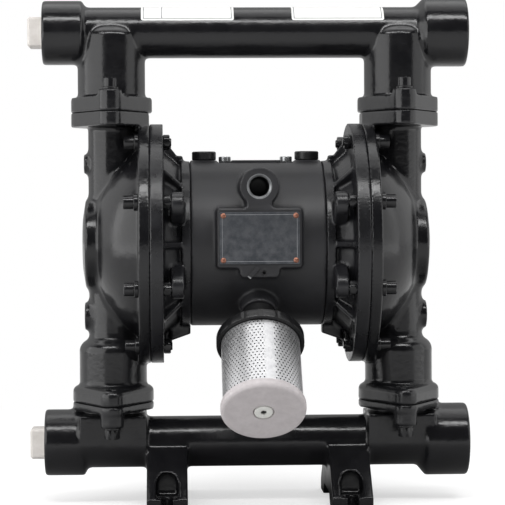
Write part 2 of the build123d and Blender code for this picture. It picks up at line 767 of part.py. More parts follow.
# ---------------------------------------------------------------- centre body
valve_pad_half_x = valve_half_x + valve_pad_margin
with BuildPart() as centre_body:
    with BuildSketch(Plane.YZ):
        with Locations((0, body_z)):
            Circle(body_r)
    extrude(amount=body_half_x, both=True)
    # flat on top for the cover, and a round land for each top plug
    with BuildSketch(Plane.XY.offset(top_flat_z)):
        Rectangle(2 * top_flat_half_x, 2 * body_r)
    extrude(amount=body_r, mode=Mode.SUBTRACT)
    with BuildSketch(Plane.XY.offset(top_land_z)) as lands:
        with Locations((-top_plug_x, 0), (top_plug_x, 0)):
            Circle(top_land_r)
    extrude(amount=-top_land_depth)
    # air inlet boss and the neck that runs down to the nameplate pad
    with BuildSketch(Plane.XZ) as inlet_boss:
        with Locations((0, air_inlet_z)):
            Circle(air_inlet_boss_r)
    extrude(amount=air_inlet_face_y)
    neck_height = air_inlet_z - plate_pad_high_z + plate_pad_round
    with BuildSketch(Plane.XZ) as neck:
        with Locations((0, air_inlet_z)):
            Rectangle(inlet_neck_width, neck_height, align=(Align.CENTER, Align.MAX))
    extrude(amount=air_inlet_face_y)
    # nameplate pad with the tongue under it
    with BuildSketch(Plane.XZ) as plate_pad:
        with Locations((0, plate_pad_low_z)):
            pad_height = plate_pad_high_z - plate_pad_low_z
            Rectangle(plate_pad_width, pad_height, align=(Align.CENTER, Align.MIN))
        fillet(plate_pad.vertices(), plate_pad_round)
    extrude(amount=plate_pad_face_y)
    tongue = front_outline(
        (-tongue_width / 2, plate_pad_low_z + plate_pad_round),
        (-tongue_width / 2, tongue_low_z + tongue_corner),
        (tongue_corner - tongue_width / 2, tongue_low_z),
        (tongue_width / 2 - tongue_corner, tongue_low_z),
        (tongue_width / 2, tongue_low_z + tongue_corner),
        (tongue_width / 2, plate_pad_low_z + plate_pad_round),
    )
    extrude(tongue, amount=plate_pad_face_y)
    # muffler boss, low at the front
    with BuildSketch(muffler_plane(0)):
        Circle(muffler_boss_r)
    extrude(amount=muffler_boss_end)
    # mounting pad of the air valve, at the rear
    with BuildSketch(Plane.XZ) as valve_pad:
        with Locations((0, body_z)):
            Rectangle(2 * valve_pad_half_x, valve_height + 2 * valve_pad_margin)
        fillet(valve_pad.vertices(), valve_round)
    extrude(amount=-valve_seat_y)
    # rod bore with a wider seat for each bush, and the same for the pilot rod
    with BuildSketch(Plane.YZ) as rod_bores:
        with Locations((0, body_z)):
            Circle(rod_r + 2 * rod_pass_gap)
        with Locations((0, pilot_height)):
            Circle(pilot_r + 2 * pilot_pass_gap)
    extrude(amount=body_half_x, both=True, mode=Mode.SUBTRACT)
    for side, hand in SIDES:
        with BuildSketch(axial_plane(side, body_half_x)) as rod_bush_seat:
            Circle(rod_r + bush_wall)
        extrude(amount=-bush_length, mode=Mode.SUBTRACT)
        with BuildSketch(axial_plane(side, body_half_x)) as pilot_bush_seat:
            with Locations((0, pilot_z)):
                Circle(pilot_bush_r)
        extrude(amount=-pilot_bush_length, mode=Mode.SUBTRACT)
        with BuildSketch(axial_plane(side, body_half_x)) as tapped_holes:
            with PolarLocations(cap_screw_ring_r, cap_screw_count):
                Circle(cap_screw_r)
        extrude(amount=-cap_screw_grip, mode=Mode.SUBTRACT)
    # threaded air inlet with its lead-in, and the exhaust passage
    with BuildSketch(Plane.XZ.offset(air_inlet_face_y)) as inlet_mouth:
        with Locations((0, air_inlet_z)):
            Circle(air_inlet_r + air_inlet_lead_in)
    extrude(amount=-air_inlet_lead_in, taper=45, mode=Mode.SUBTRACT)
    with BuildSketch(Plane.XZ.offset(air_inlet_face_y)) as inlet_hole:
        with Locations((0, air_inlet_z)):
            Circle(air_inlet_r)
    extrude(amount=-air_inlet_depth, mode=Mode.SUBTRACT)
    with BuildSketch(muffler_plane(muffler_boss_end)) as exhaust:
        Circle(exhaust_r)
    extrude(amount=-exhaust_depth, mode=Mode.SUBTRACT)
    with BuildSketch(Plane.YZ) as exhaust_chamber:
        with Locations((0, body_z)):
            Circle(exhaust_chamber_r)
            Circle(rod_sleeve_r, mode=Mode.SUBTRACT)
    extrude(amount=exhaust_chamber_half_x, both=True, mode=Mode.SUBTRACT)
    # holes for rivets, tongue, top plugs, cover screws and valve screws
    rivet_x = name_plate_width / 2 - rivet_inset
    rivet_z = name_plate_height / 2 - rivet_inset
    with BuildSketch(Plane.XZ.offset(plate_pad_face_y)) as rivet_holes:
        with Locations((0, name_plate_z)):
            with GridLocations(2 * rivet_x, 2 * rivet_z, 2, 2):
                Circle(rivet_shank_r)
        with Locations((tongue_hole_x, (tongue_low_z + plate_pad_low_z) / 2)):
            Circle(tongue_hole_r)
    extrude(amount=-rivet_hole_depth, mode=Mode.SUBTRACT)
    with BuildSketch(Plane.XY.offset(top_land_z)) as plug_holes:
        with Locations((-top_plug_x, 0), (top_plug_x, 0)):
            Circle(top_plug_stem_r)
    extrude(amount=-top_plug_stem_length, mode=Mode.SUBTRACT)
    with BuildSketch(Plane.XY.offset(top_flat_z)) as cover_holes:
        with Locations((-cover_screw_x, 0), (cover_screw_x, 0)):
            Circle(cover_screw_r)
    extrude(amount=cover_t - cover_screw_length, mode=Mode.SUBTRACT)
    with BuildSketch(Plane.XZ.offset(-valve_seat_y)) as valve_holes:
        with Locations((0, body_z)):
            with GridLocations(2 * valve_screw_x, 2 * valve_screw_z, 2, 2):
                Circle(valve_screw_r)
    extrude(amount=valve_screw_grip, mode=Mode.SUBTRACT)
save(centre_body, "centre_body")

# ---------------------------------------------------------------- top cover, screws and plugs
with BuildPart() as top_cover:
    with BuildSketch(Plane.XY.offset(top_flat_z)) as cover_sheet:
        Rectangle(2 * cover_half_x, 2 * cover_half_y)
    extrude(amount=cover_t)
    with BuildSketch(Plane.XY.offset(top_flat_z)) as cover_pad:
        Rectangle(2 * cover_pad_half_x, 2 * cover_half_y)
    extrude(amount=cover_t + cover_pad_t)
    with BuildSketch(Plane.XY.offset(top_flat_z)) as cover_holes:
        with Locations((-cover_screw_x, 0), (cover_screw_x, 0)):
            Circle(cover_screw_r)
    extrude(amount=cover_t, mode=Mode.SUBTRACT)
save(top_cover, "top_cover")

with BuildPart() as top_cover_screws:
    with BuildSketch(Plane.XY.offset(top_flat_z + cover_t)) as shanks:
        with Locations((-cover_screw_x, 0), (cover_screw_x, 0)):
            Circle(cover_screw_r)
    extrude(amount=-cover_screw_length)
    with BuildSketch(Plane.XY.offset(top_flat_z + cover_t)) as heads:
        with Locations((-cover_screw_x, 0), (cover_screw_x, 0)):
            Circle(cover_screw_head_r)
    extrude(amount=cover_screw_head_height)
    with BuildSketch(Plane.XY.offset(top_flat_z + cover_t + cover_screw_head_height)) as keys:
        with Locations((-cover_screw_x, 0), (cover_screw_x, 0)):
            RegularPolygon(cover_screw_r, 6)
    extrude(amount=-cover_screw_r, mode=Mode.SUBTRACT)
save(top_cover_screws, "top_cover_screws")

with BuildPart() as top_plugs:
    with BuildSketch(Plane.XY.offset(top_land_z)) as stems:
        with Locations((-top_plug_x, 0), (top_plug_x, 0)):
            Circle(top_plug_stem_r)
    extrude(amount=-top_plug_stem_length)
    with BuildSketch(Plane.XY.offset(top_land_z)) as heads:
        with Locations((-top_plug_x, 0), (top_plug_x, 0)):
            Circle(top_plug_r)
    extrude(amount=top_plug_height)
    chamfer(top_plugs.edges().group_by(Axis.Z)[-1], top_plug_chamfer)
save(top_plugs, "top_plugs")

# ---------------------------------------------------------------- nameplate and rivets
with BuildPart() as nameplate:
    with BuildSketch(Plane.XZ.offset(plate_pad_face_y)) as plate_face:
        with Locations((0, name_plate_z)):
            Rectangle(name_plate_width, name_plate_height)
        fillet(plate_face.vertices(), name_plate_t)
        with Locations((0, name_plate_z)):
            with GridLocations(2 * rivet_x, 2 * rivet_z, 2, 2):
                Circle(rivet_shank_r, mode=Mode.SUBTRACT)
    extrude(amount=name_plate_t)
save(nameplate, "nameplate")

with BuildPart() as nameplate_rivets:
    head_y = plate_pad_face_y + name_plate_t
    with BuildSketch(Plane.XZ.offset(head_y)) as rivet_shanks:
        with Locations((0, name_plate_z)):
            with GridLocations(2 * rivet_x, 2 * rivet_z, 2, 2):
                Circle(rivet_shank_r)
    extrude(amount=-name_plate_t - rivet_grip)
    with BuildSketch(Plane.XZ.offset(head_y)) as rivet_heads:
        with Locations((0, name_plate_z)):
            with GridLocations(2 * rivet_x, 2 * rivet_z, 2, 2):
                Circle(rivet_r)
    extrude(amount=rivet_r / 2, taper=rivet_taper)
save(nameplate_rivets, "nameplate_rivets")

# ---------------------------------------------------------------- rod, bushes and seals
with BuildPart() as connecting_rod:
    with BuildSketch(Plane.YZ):
        with Locations((0, body_z)):
            Circle(rod_r)
    extrude(amount=air_plate_x, both=True)
    stud_end_x = fluid_plate_x + fluid_plate_t
    with BuildSketch(Plane.YZ):
        with Locations((0, body_z)):
            Circle(stud_r)
    extrude(amount=stud_end_x, both=True)
save(connecting_rod, "connecting_rod")

with BuildPart() as rod_bushes:
    for side, hand in SIDES:
        with BuildSketch(axial_plane(side, body_half_x)) as bush_ring:
            Circle(rod_r + bush_wall)
            Circle(rod_r + running_gap, mode=Mode.SUBTRACT)
        extrude(amount=-bush_length)
save(rod_bushes, "rod_bushes")

with BuildPart() as rod_seals:
    for side, hand in SIDES:
        with BuildSketch(axial_plane(side, body_half_x)) as seal_ring:
            Circle(seal_r)
            Circle(rod_r + running_gap, mode=Mode.SUBTRACT)
        extrude(amount=seal_width)
save(rod_seals, "rod_seals")

with BuildPart() as pilot_rod:
    with BuildSketch(Plane.YZ):
        with Locations((0, pilot_height)):
            Circle(pilot_r)
    extrude(amount=chamber_back_x + pilot_reach, both=True)
    chamfer(pilot_rod.edges().filter_by(GeomType.CIRCLE), pilot_r / 5)
save(pilot_rod, "pilot_rod")

with BuildPart() as pilot_bushes:
    for side, hand in SIDES:
        with BuildSketch(axial_plane(side, body_half_x)) as bush_ring:
            with Locations((0, pilot_z)):
                Circle(pilot_bush_r)
                Circle(pilot_r + running_gap, mode=Mode.SUBTRACT)
        extrude(amount=-pilot_bush_length)
save(pilot_bushes, "pilot_bushes")

# ---------------------------------------------------------------- diaphragms and their plates
for side, hand in SIDES:
    half_t = diaphragm_t / 2
    roll_r = (diaphragm_free_r + clamp_plate_r) / 2
    with BuildPart() as diaphragm:
        with BuildSketch(Plane.XZ) as rubber:
            with BuildLine():
                wet_x = side * (seam_x + half_t)
                dry_x = side * (seam_x - half_t)
                Line((dry_x, body_z + stud_r), (wet_x, body_z + stud_r))
                Line((wet_x, body_z + stud_r), (wet_x, body_z + clamp_plate_r))
                ThreePointArc(
                    (wet_x, body_z + clamp_plate_r),
                    (wet_x + side * diaphragm_roll, body_z + roll_r),
                    (wet_x, body_z + diaphragm_free_r),
                )
                Line((wet_x, body_z + diaphragm_free_r), (wet_x, body_z + diaphragm_rim_r))
                Line((wet_x, body_z + diaphragm_rim_r), (dry_x, body_z + diaphragm_rim_r))
                Line((dry_x, body_z + diaphragm_rim_r), (dry_x, body_z + diaphragm_free_r))
                ThreePointArc(
                    (dry_x, body_z + diaphragm_free_r),
                    (dry_x + side * diaphragm_roll, body_z + roll_r),
                    (dry_x, body_z + clamp_plate_r),
                )
                Line((dry_x, body_z + clamp_plate_r), (dry_x, body_z + stud_r))
            make_face()
        revolve(axis=diaphragm_axis)
    save(diaphragm, f"diaphragm_{hand}")

    with BuildPart() as air_side_plate:
        dished = turned_outline(
            side,
            (air_plate_x, stud_r),
            (air_plate_x, clamp_plate_r - air_plate_t / 2),
            (air_plate_x + air_plate_t / 2, clamp_plate_r),
            (air_plate_x + air_plate_t, clamp_plate_r),
            (air_plate_x + air_plate_t, stud_r),
        )
        revolve(dished, axis=diaphragm_axis)
    save(air_side_plate, f"air_side_plate_{hand}")

    with BuildPart() as fluid_side_plate:
        domed = turned_outline(
            side,
            (fluid_plate_x, stud_r),
            (fluid_plate_x, clamp_plate_r),
            (fluid_plate_x + fluid_plate_t / 2, clamp_plate_r),
            (fluid_plate_x + fluid_plate_t, clamp_plate_r - 2 * fluid_plate_t),
            (fluid_plate_x + fluid_plate_t, fluid_plate_hub_r),
            (fluid_plate_x + fluid_plate_t + fluid_plate_hub_t, fluid_plate_hub_r),
            (fluid_plate_x + fluid_plate_t + fluid_plate_hub_t, 0),
            (fluid_plate_x + fluid_plate_t, 0),
            (fluid_plate_x + fluid_plate_t, stud_r),
        )
        revolve(domed, axis=diaphragm_axis)
    save(fluid_side_plate, f"fluid_side_plate_{hand}")

# ---------------------------------------------------------------- balls, seats, O-rings
VALVES = (("inlet", inlet_joint_z), ("outlet", outlet_joint_z))
for place, joint_z in VALVES:
    with BuildPart() as seats:
        for side, hand in SIDES:
            seat_axis = Axis((side * column_x, 0, 0), (0, 0, 1))
            middle = side * column_x
            section = front_outline(
                (middle + seat_bore_r, joint_z),
                (middle + seat_outer_r - 2 * o_ring_r, joint_z),
                (middle + seat_outer_r - 2 * o_ring_r, joint_z + 2 * o_ring_r - o_ring_squeeze),
                (middle + seat_outer_r, joint_z + 2 * o_ring_r - o_ring_squeeze),
                (middle + seat_outer_r, joint_z + seat_height),
                (middle + seat_cone_top_r, joint_z + seat_height),
                (middle + seat_bore_r, joint_z + seat_height - seat_cone_depth),
            )
            revolve(section, axis=seat_axis)
    save(seats, f"{place}_valve_seats")
    for side, hand in SIDES:
        with BuildPart() as ball:
            with Locations((side * column_x, 0, joint_z + ball_rest)):
                Sphere(ball_r)
        save(ball, f"{place}_ball_{hand}")

with BuildPart() as seat_o_rings:
    for place, joint_z in VALVES:
        for side, hand in SIDES:
            seat_axis = Axis((side * column_x, 0, 0), (0, 0, 1))
            ring_x = side * column_x + seat_outer_r - o_ring_r
            section_r = o_ring_r - o_ring_squeeze / 2
            with BuildSketch(Plane.XZ) as section:
                with Locations((ring_x, joint_z + section_r)):
                    RegularPolygon(section_r, 8, major_radius=False, rotation=22.5)
            revolve(axis=seat_axis)
save(seat_o_rings, "seat_o_rings")

# ---------------------------------------------------------------- disc bolts, washers, nuts
head_seat_x = fluid_ring_x + washer_t
with BuildPart() as disc_bolts:
    for side, hand in SIDES:
        shank_length = head_seat_x - nut_face_x + thread_end
        extrude(disc_points(side, head_seat_x, disc_bolt_r), amount=-shank_length)
        extrude(disc_points(side, head_seat_x, head_r), amount=disc_head_height)
        with BuildSketch(axial_plane(side, head_seat_x + disc_head_height)) as keys:
            with PolarLocations(disc_bolt_ring_r, disc_bolt_count, 180 / disc_bolt_count):
                RegularPolygon(socket_key_r, 6)
        extrude(amount=-socket_depth, mode=Mode.SUBTRACT)
save(disc_bolts, "disc_bolts")

with BuildPart() as disc_washers:
    for side, hand in SIDES:
        extrude(disc_points(side, fluid_ring_x, washer_r), amount=washer_t)
        extrude(disc_points(side, fluid_ring_x, disc_bolt_r), amount=washer_t, mode=Mode.SUBTRACT)
save(disc_washers, "disc_washers")

with BuildPart() as disc_nuts:
    for side, hand in SIDES:
        with BuildSketch(axial_plane(side, air_ring_x)) as hexagons:
            with PolarLocations(disc_bolt_ring_r, disc_bolt_count, 180 / disc_bolt_count):
                RegularPolygon(nut_r, 6)
                Circle(disc_bolt_r, mode=Mode.SUBTRACT)
        extrude(amount=-nut_t)
save(disc_nuts, "disc_nuts")

# ---------------------------------------------------------------- flange screws and bolts
with BuildPart() as outlet_flange_screws:
    seat_z = outlet_joint_z + outlet_lug_height + flange_washer_t
    for side, hand in SIDES:
        shank_length = seat_z - outlet_joint_z + cap_top_flange_t
        extrude(lug_circles(side, seat_z, flange_bolt_r), amount=-shank_length)
        extrude(lug_circles(side, seat_z, flange_head_r), amount=flange_head_height)
        with BuildSketch(Plane.XY.offset(seat_z + flange_head_height)) as keys:
            with Locations((side * column_x, flange_bolt_y), (side * column_x, -flange_bolt_y)):
                RegularPolygon(socket_key_r, 6)
        extrude(amount=-socket_depth, mode=Mode.SUBTRACT)
save(outlet_flange_screws, "outlet_flange_screws")

with BuildPart() as inlet_flange_bolts:
    seat_z = inlet_joint_z - inlet_lug_height - flange_washer_t
    for side, hand in SIDES:
        shank_length = inlet_joint_z - seat_z + cap_foot_flange_t - thread_end
        extrude(lug_circles(side, seat_z, flange_bolt_r), amount=shank_length)
        with BuildSketch(Plane.XY.offset(seat_z)) as heads:
            with Locations((side * column_x, flange_bolt_y), (side * column_x, -flange_bolt_y)):
                RegularPolygon(nut_r, 6)
        extrude(amount=-flange_head_height)
save(inlet_flange_bolts, "inlet_flange_bolts")

with BuildPart() as flange_washers:
    for side, hand in SIDES:
        for low_z in (
            outlet_joint_z + outlet_lug_height,
            inlet_joint_z - inlet_lug_height - flange_washer_t,
        ):
            extrude(lug_circles(side, low_z, flange_washer_r), amount=flange_washer_t)
            hole = lug_circles(side, low_z, flange_bolt_r)
            extrude(hole, amount=flange_washer_t, mode=Mode.SUBTRACT)
save(flange_washers, "flange_washers")

with BuildPart() as air_cap_screws:
    for side, hand in SIDES:
        with BuildSketch(axial_plane(side, cap_screw_seat_x)) as shanks:
            with PolarLocations(cap_screw_ring_r, cap_screw_count):
                Circle(cap_screw_r)
        extrude(amount=body_half_x - cap_screw_grip - cap_screw_seat_x + thread_end)
        with BuildSketch(axial_plane(side, cap_screw_seat_x)) as heads:
            with PolarLocations(cap_screw_ring_r, cap_screw_count):
                Circle(head_r)
        extrude(amount=cap_screw_head_height)
save(air_cap_screws, "air_cap_screws")

# ---------------------------------------------------------------- port plugs
for name, plug_z in (("outlet_port_plug", outlet_z), ("inlet_port_plug", inlet_z)):
    with BuildPart() as port_plug:
        with BuildSketch(Plane.YZ.offset(-port_face_x)) as stem:
            with Locations((0, plug_z)):
                Circle(port_r)
        extrude(amount=plug_length)
        with BuildSketch(Plane.YZ.offset(-port_face_x)) as head:
            with Locations((0, plug_z)):
                Rectangle(plug_head_width, plug_head_width)
            chamfer(head.vertices(), plug_head_chamfer)
        extrude(amount=-plug_head_length)
        chamfer(port_plug.faces().sort_by(Axis.X)[0].edges(), plug_head_chamfer)
    save(port_plug, name)

# ---------------------------------------------------------------- air valve
valve_front_y = valve_seat_y + gasket_t
with BuildPart() as valve_gasket:
    with BuildSketch(Plane.XZ.offset(-valve_seat_y)) as gasket_sheet:
        with Locations((0, body_z)):
            Rectangle(2 * valve_half_x, valve_height)
            with GridLocations(2 * valve_screw_x, 2 * valve_screw_z, 2, 2):
                Circle(valve_screw_r, mode=Mode.SUBTRACT)
    extrude(amount=-gasket_t)
save(valve_gasket, "valve_gasket")

with BuildPart() as valve_block:
    with BuildSketch(Plane.XZ.offset(-valve_front_y)) as block_face:
        with Locations((0, body_z)):
            Rectangle(2 * valve_half_x, valve_height)
    extrude(amount=-valve_depth)
    back_edges = valve_block.faces().sort_by(Axis.Y)[-1].edges().filter_by(Axis.X)
    fillet(back_edges, 2 * valve_round)
    with BuildSketch(Plane.YZ) as sleeve_bore:
        with Locations((valve_y, body_z)):
            Circle(sleeve_r)
    extrude(amount=valve_half_x, both=True, mode=Mode.SUBTRACT)
    with BuildSketch(Plane.XZ.offset(-valve_front_y)) as screw_holes:
        with Locations((0, body_z)):
            with GridLocations(2 * valve_screw_x, 2 * valve_screw_z, 2, 2):
                Circle(valve_screw_r)
    extrude(amount=-valve_depth, mode=Mode.SUBTRACT)
    for side, hand in SIDES:
        with BuildSketch(Plane.YZ.offset(side * valve_half_x)) as end_holes:
            with Locations((valve_y - end_screw_y, body_z + end_screw_z)):
                Circle(valve_screw_r)
            with Locations((valve_y - end_screw_y, body_z - end_screw_z)):
                Circle(valve_screw_r)
        extrude(amount=-side * end_screw_grip, mode=Mode.SUBTRACT)
save(valve_block, "valve_block")

with BuildPart() as valve_sleeve:
    with BuildSketch(Plane.YZ) as sleeve_ring:
        with Locations((valve_y, body_z)):
            Circle(sleeve_r)
            Circle(sleeve_bore_r, mode=Mode.SUBTRACT)
    extrude(amount=valve_half_x, both=True)
    for port_x in (-sleeve_port_pitch, 0, sleeve_port_pitch):
        with BuildSketch(Plane.YZ.offset(port_x)) as groove:
            with Locations((valve_y, body_z)):
                Circle(sleeve_r)
                Circle(sleeve_r - sleeve_port_depth, mode=Mode.SUBTRACT)
        extrude(amount=sleeve_port_width / 2, both=True, mode=Mode.SUBTRACT)
        with BuildSketch(Plane.XY.offset(body_z)) as port:
            with Locations((port_x, valve_y)):
                Circle(sleeve_port_r)
        extrude(amount=sleeve_r, both=True, mode=Mode.SUBTRACT)
save(valve_sleeve, "valve_sleeve")

with BuildPart() as valve_spool:
    with BuildSketch(Plane.YZ) as waist:
        with Locations((valve_y, body_z)):
            Circle(spool_waist_r)
    extrude(amount=spool_half_x, both=True)
    end_land_x = spool_half_x - spool_land_width / 2
    for land_x in (-end_land_x, -sleeve_port_pitch, sleeve_port_pitch, end_land_x):
        with BuildSketch(Plane.YZ.offset(land_x)) as land:
            with Locations((valve_y, body_z)):
                Circle(sleeve_bore_r - running_gap)
        extrude(amount=spool_land_width / 2, both=True)
save(valve_spool, "valve_spool")

for side, hand in SIDES:
    with BuildPart() as valve_end_cap:
        with BuildSketch(Plane.YZ.offset(side * valve_half_x)) as cap_face:
            with Locations((valve_front_y + valve_depth / 2, body_z)):
                Rectangle(valve_depth, valve_height)
            fillet(cap_face.vertices(), valve_round)
        extrude(amount=side * valve_cap_t)
        with BuildSketch(Plane.YZ.offset(side * valve_half_x)) as end_holes:
            with Locations((valve_y - end_screw_y, body_z)):
                with GridLocations(0, 2 * end_screw_z, 1, 2):
                    Circle(valve_screw_r)
        extrude(amount=side * valve_cap_t, mode=Mode.SUBTRACT)
    save(valve_end_cap, f"valve_end_cap_{hand}")

with BuildPart() as valve_end_screws:
    for side, hand in SIDES:
        outer_x = side * (valve_half_x + valve_cap_t)
        with BuildSketch(Plane.YZ.offset(outer_x)) as shanks:
            with Locations((valve_y - end_screw_y, body_z)):
                with GridLocations(0, 2 * end_screw_z, 1, 2):
                    Circle(valve_screw_r)
        extrude(amount=-side * (valve_cap_t + end_screw_grip))
        with BuildSketch(Plane.YZ.offset(outer_x)) as heads:
            with Locations((valve_y - end_screw_y, body_z)):
                with GridLocations(0, 2 * end_screw_z, 1, 2):
                    Circle(valve_screw_head_r)
        extrude(amount=side * valve_screw_head_height)
save(valve_end_screws, "valve_end_screws")

valve_back_y = valve_front_y + valve_depth
with BuildPart() as valve_mounting_screws:
    with BuildSketch(Plane.XZ.offset(-valve_back_y)) as shanks:
        with Locations((0, body_z)):
            with GridLocations(2 * valve_screw_x, 2 * valve_screw_z, 2, 2):
                Circle(valve_screw_r)
    extrude(amount=valve_depth + gasket_t + valve_screw_grip - thread_end)
    with BuildSketch(Plane.XZ.offset(-valve_back_y)) as heads:
        with Locations((0, body_z)):
            with GridLocations(2 * valve_screw_x, 2 * valve_screw_z, 2, 2):
                Circle(valve_screw_head_r)
    extrude(amount=-valve_screw_head_height)
save(valve_mounting_screws, "valve_mounting_screws")

# ---------------------------------------------------------------- muffler
with BuildPart() as muffler_collar:
    with BuildSketch(muffler_plane(collar_start)) as lobed_disc:
        Circle(collar_r)
        with PolarLocations(collar_lobe_ring_r, collar_lobe_count):
            Circle(collar_lobe_r)
    extrude(amount=collar_end - collar_start)
    with BuildSketch(muffler_plane(muffler_boss_end)) as hub_stem:
        Circle(hub_stem_r)
    extrude(amount=collar_start - muffler_boss_end)
    with BuildSketch(muffler_plane(muffler_boss_end)) as nipple:
        Circle(exhaust_r)
    extrude(amount=-nipple_length)
save(muffler_collar, "muffler_collar")

with BuildPart() as muffler_screen:
    with BuildSketch(muffler_plane(collar_end)) as screen_ring:
        Circle(screen_r)
        Circle(screen_r - screen_t, mode=Mode.SUBTRACT)
    extrude(amount=screen_end - collar_end)
save(muffler_screen, "muffler_screen")

with BuildPart() as muffler_end_cap:
    with BuildSketch(muffler_plane(end_cap_start)) as cap_disc:
        Circle(end_cap_r)
    extrude(amount=end_cap_end - end_cap_start)
    rims = muffler_end_cap.edges().filter_by(GeomType.CIRCLE)
    fillet(rims.sort_by(Axis((0, 0, body_z), muffler_down))[-1], end_cap_round)
    with BuildSketch(muffler_plane(end_cap_start)) as screen_groove:
        Circle(screen_r)
        Circle(screen_r - screen_t, mode=Mode.SUBTRACT)
    extrude(amount=screen_end - end_cap_start, mode=Mode.SUBTRACT)
    with BuildSketch(muffler_plane(end_cap_end)) as head_recess:
        Circle(tie_head_r + tie_recess_gap)
    extrude(amount=-tie_head_height, mode=Mode.SUBTRACT)
    with BuildSketch(muffler_plane(end_cap_end)) as screw_hole:
        Circle(tie_screw_r)
    extrude(amount=end_cap_start - end_cap_end, mode=Mode.SUBTRACT)
save(muffler_end_cap, "muffler_end_cap")

with BuildPart() as muffler_packing:
    with BuildSketch(muffler_plane(collar_end)) as packing_ring:
        Circle(screen_r - screen_t - packing_gap)
        Circle(packing_bore_r, mode=Mode.SUBTRACT)
    extrude(amount=end_cap_start - collar_end)
save(muffler_packing, "muffler_packing")

with BuildPart() as muffler_tie_screw:
    head_seat_s = end_cap_end - tie_head_height
    with BuildSketch(muffler_plane(collar_end)) as tie_shank:
        Circle(tie_screw_r)
    extrude(amount=head_seat_s - collar_end)
    with BuildSketch(muffler_plane(head_seat_s)) as tie_head:
        Circle(tie_head_r)
    extrude(amount=tie_head_height)
    with BuildSketch(muffler_plane(end_cap_end)) as tie_key:
        RegularPolygon(tie_key_r, 6)
    extrude(amount=-tie_head_height / 2, mode=Mode.SUBTRACT)
save(muffler_tie_screw, "muffler_tie_screw")
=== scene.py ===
from math import atan2, cos, degrees, hypot, pi, radians, sin, sqrt

import bmesh
import bpy
import numpy as np
from mathutils import Matrix, Vector


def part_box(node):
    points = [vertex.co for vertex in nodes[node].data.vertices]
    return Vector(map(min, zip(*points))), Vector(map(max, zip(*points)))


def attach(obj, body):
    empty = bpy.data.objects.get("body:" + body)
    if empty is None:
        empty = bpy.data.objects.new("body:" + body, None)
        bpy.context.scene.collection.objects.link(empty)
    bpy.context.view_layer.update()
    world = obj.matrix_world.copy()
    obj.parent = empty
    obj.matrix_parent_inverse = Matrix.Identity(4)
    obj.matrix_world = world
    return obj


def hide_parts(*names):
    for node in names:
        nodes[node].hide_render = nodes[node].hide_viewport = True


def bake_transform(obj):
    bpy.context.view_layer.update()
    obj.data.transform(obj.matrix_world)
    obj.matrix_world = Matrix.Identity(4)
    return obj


# Air operated double diaphragm pump: the looks of each piece, in the pump's own frame.
# Sizes are in millimetres until a piece is finished, then metres.

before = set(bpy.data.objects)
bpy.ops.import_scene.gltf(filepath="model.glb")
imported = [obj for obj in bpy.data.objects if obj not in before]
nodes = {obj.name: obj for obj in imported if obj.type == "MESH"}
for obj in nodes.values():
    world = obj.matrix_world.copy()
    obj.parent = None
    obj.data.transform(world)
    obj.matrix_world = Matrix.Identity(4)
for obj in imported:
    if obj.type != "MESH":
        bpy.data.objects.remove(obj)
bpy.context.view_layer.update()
scene = bpy.context.scene

MM = 0.001
HOUSING = "pump_body"

# ------------------------------------------------------------ sizes shared with the solids
SIDES = (("left", -1), ("right", 1))
body_z = 258.0
body_middle = Vector((0.0, 0.0, body_z))
column_x = 143.0
outlet_z = 468.0
tube_r = 25.3
port_face_x = 211.0
bolt_ring_r = 108.0
bolt_angles = [22.5 + 45.0 * k for k in range(8)]
flange_bolt_y = 61.0
m8_r, m6_r = 4.0, 3.0
m6_key_r = 2.4
muffler_tilt = radians(45.0)
muffler_way = Vector((0.0, -cos(muffler_tilt), -sin(muffler_tilt)))
muffler_up = Vector((0.0, -sin(muffler_tilt), cos(muffler_tilt)))


# ------------------------------------------------------------ shaping helpers
def turned(profile, steps):
    """A body of revolution about Z from (radius, height) points."""
    bm = bmesh.new()
    points = [bm.verts.new((radius, 0.0, height)) for radius, height in profile]
    line = [bm.edges.new(pair) for pair in zip(points, points[1:])]
    bmesh.ops.spin(
        bm,
        geom=points + line,
        cent=(0, 0, 0),
        axis=(0, 0, 1),
        angle=2 * pi,
        steps=steps,
        use_merge=True,
    )
    bmesh.ops.remove_doubles(bm, verts=bm.verts, dist=1e-5)
    bmesh.ops.dissolve_degenerate(bm, edges=bm.edges, dist=1e-5)
    bmesh.ops.recalc_face_normals(bm, faces=bm.faces)
    return bm


def ring_of(bm, radius):
    """Vertices of a turned body that stand at one radius. Rings that have to be told apart are
    given radii that differ by a hair."""
    return [v for v in bm.verts if abs(hypot(v.co.x, v.co.y) - radius) < 1e-4]


def turn_of(v):
    """Angle of a vertex round Z, from X."""
    return Vector((v.co.x, v.co.y)).angle_signed(Vector((1, 0)))


def draw_in(v, share):
    """Scales a vertex's distance from Z."""
    v.co.x *= share
    v.co.y *= share


def make_hexagonal(ring, flat_r, limit=1e9):
    """Draws a round ring in to six flats, no corner further out than the limit."""
    for v in ring:
        reach = hypot(v.co.x, v.co.y)
        off_flat = (turn_of(v) + pi / 6) % (pi / 3) - pi / 6
        draw_in(v, min(flat_r / cos(off_flat), limit) / reach)


knurl_steps = 48


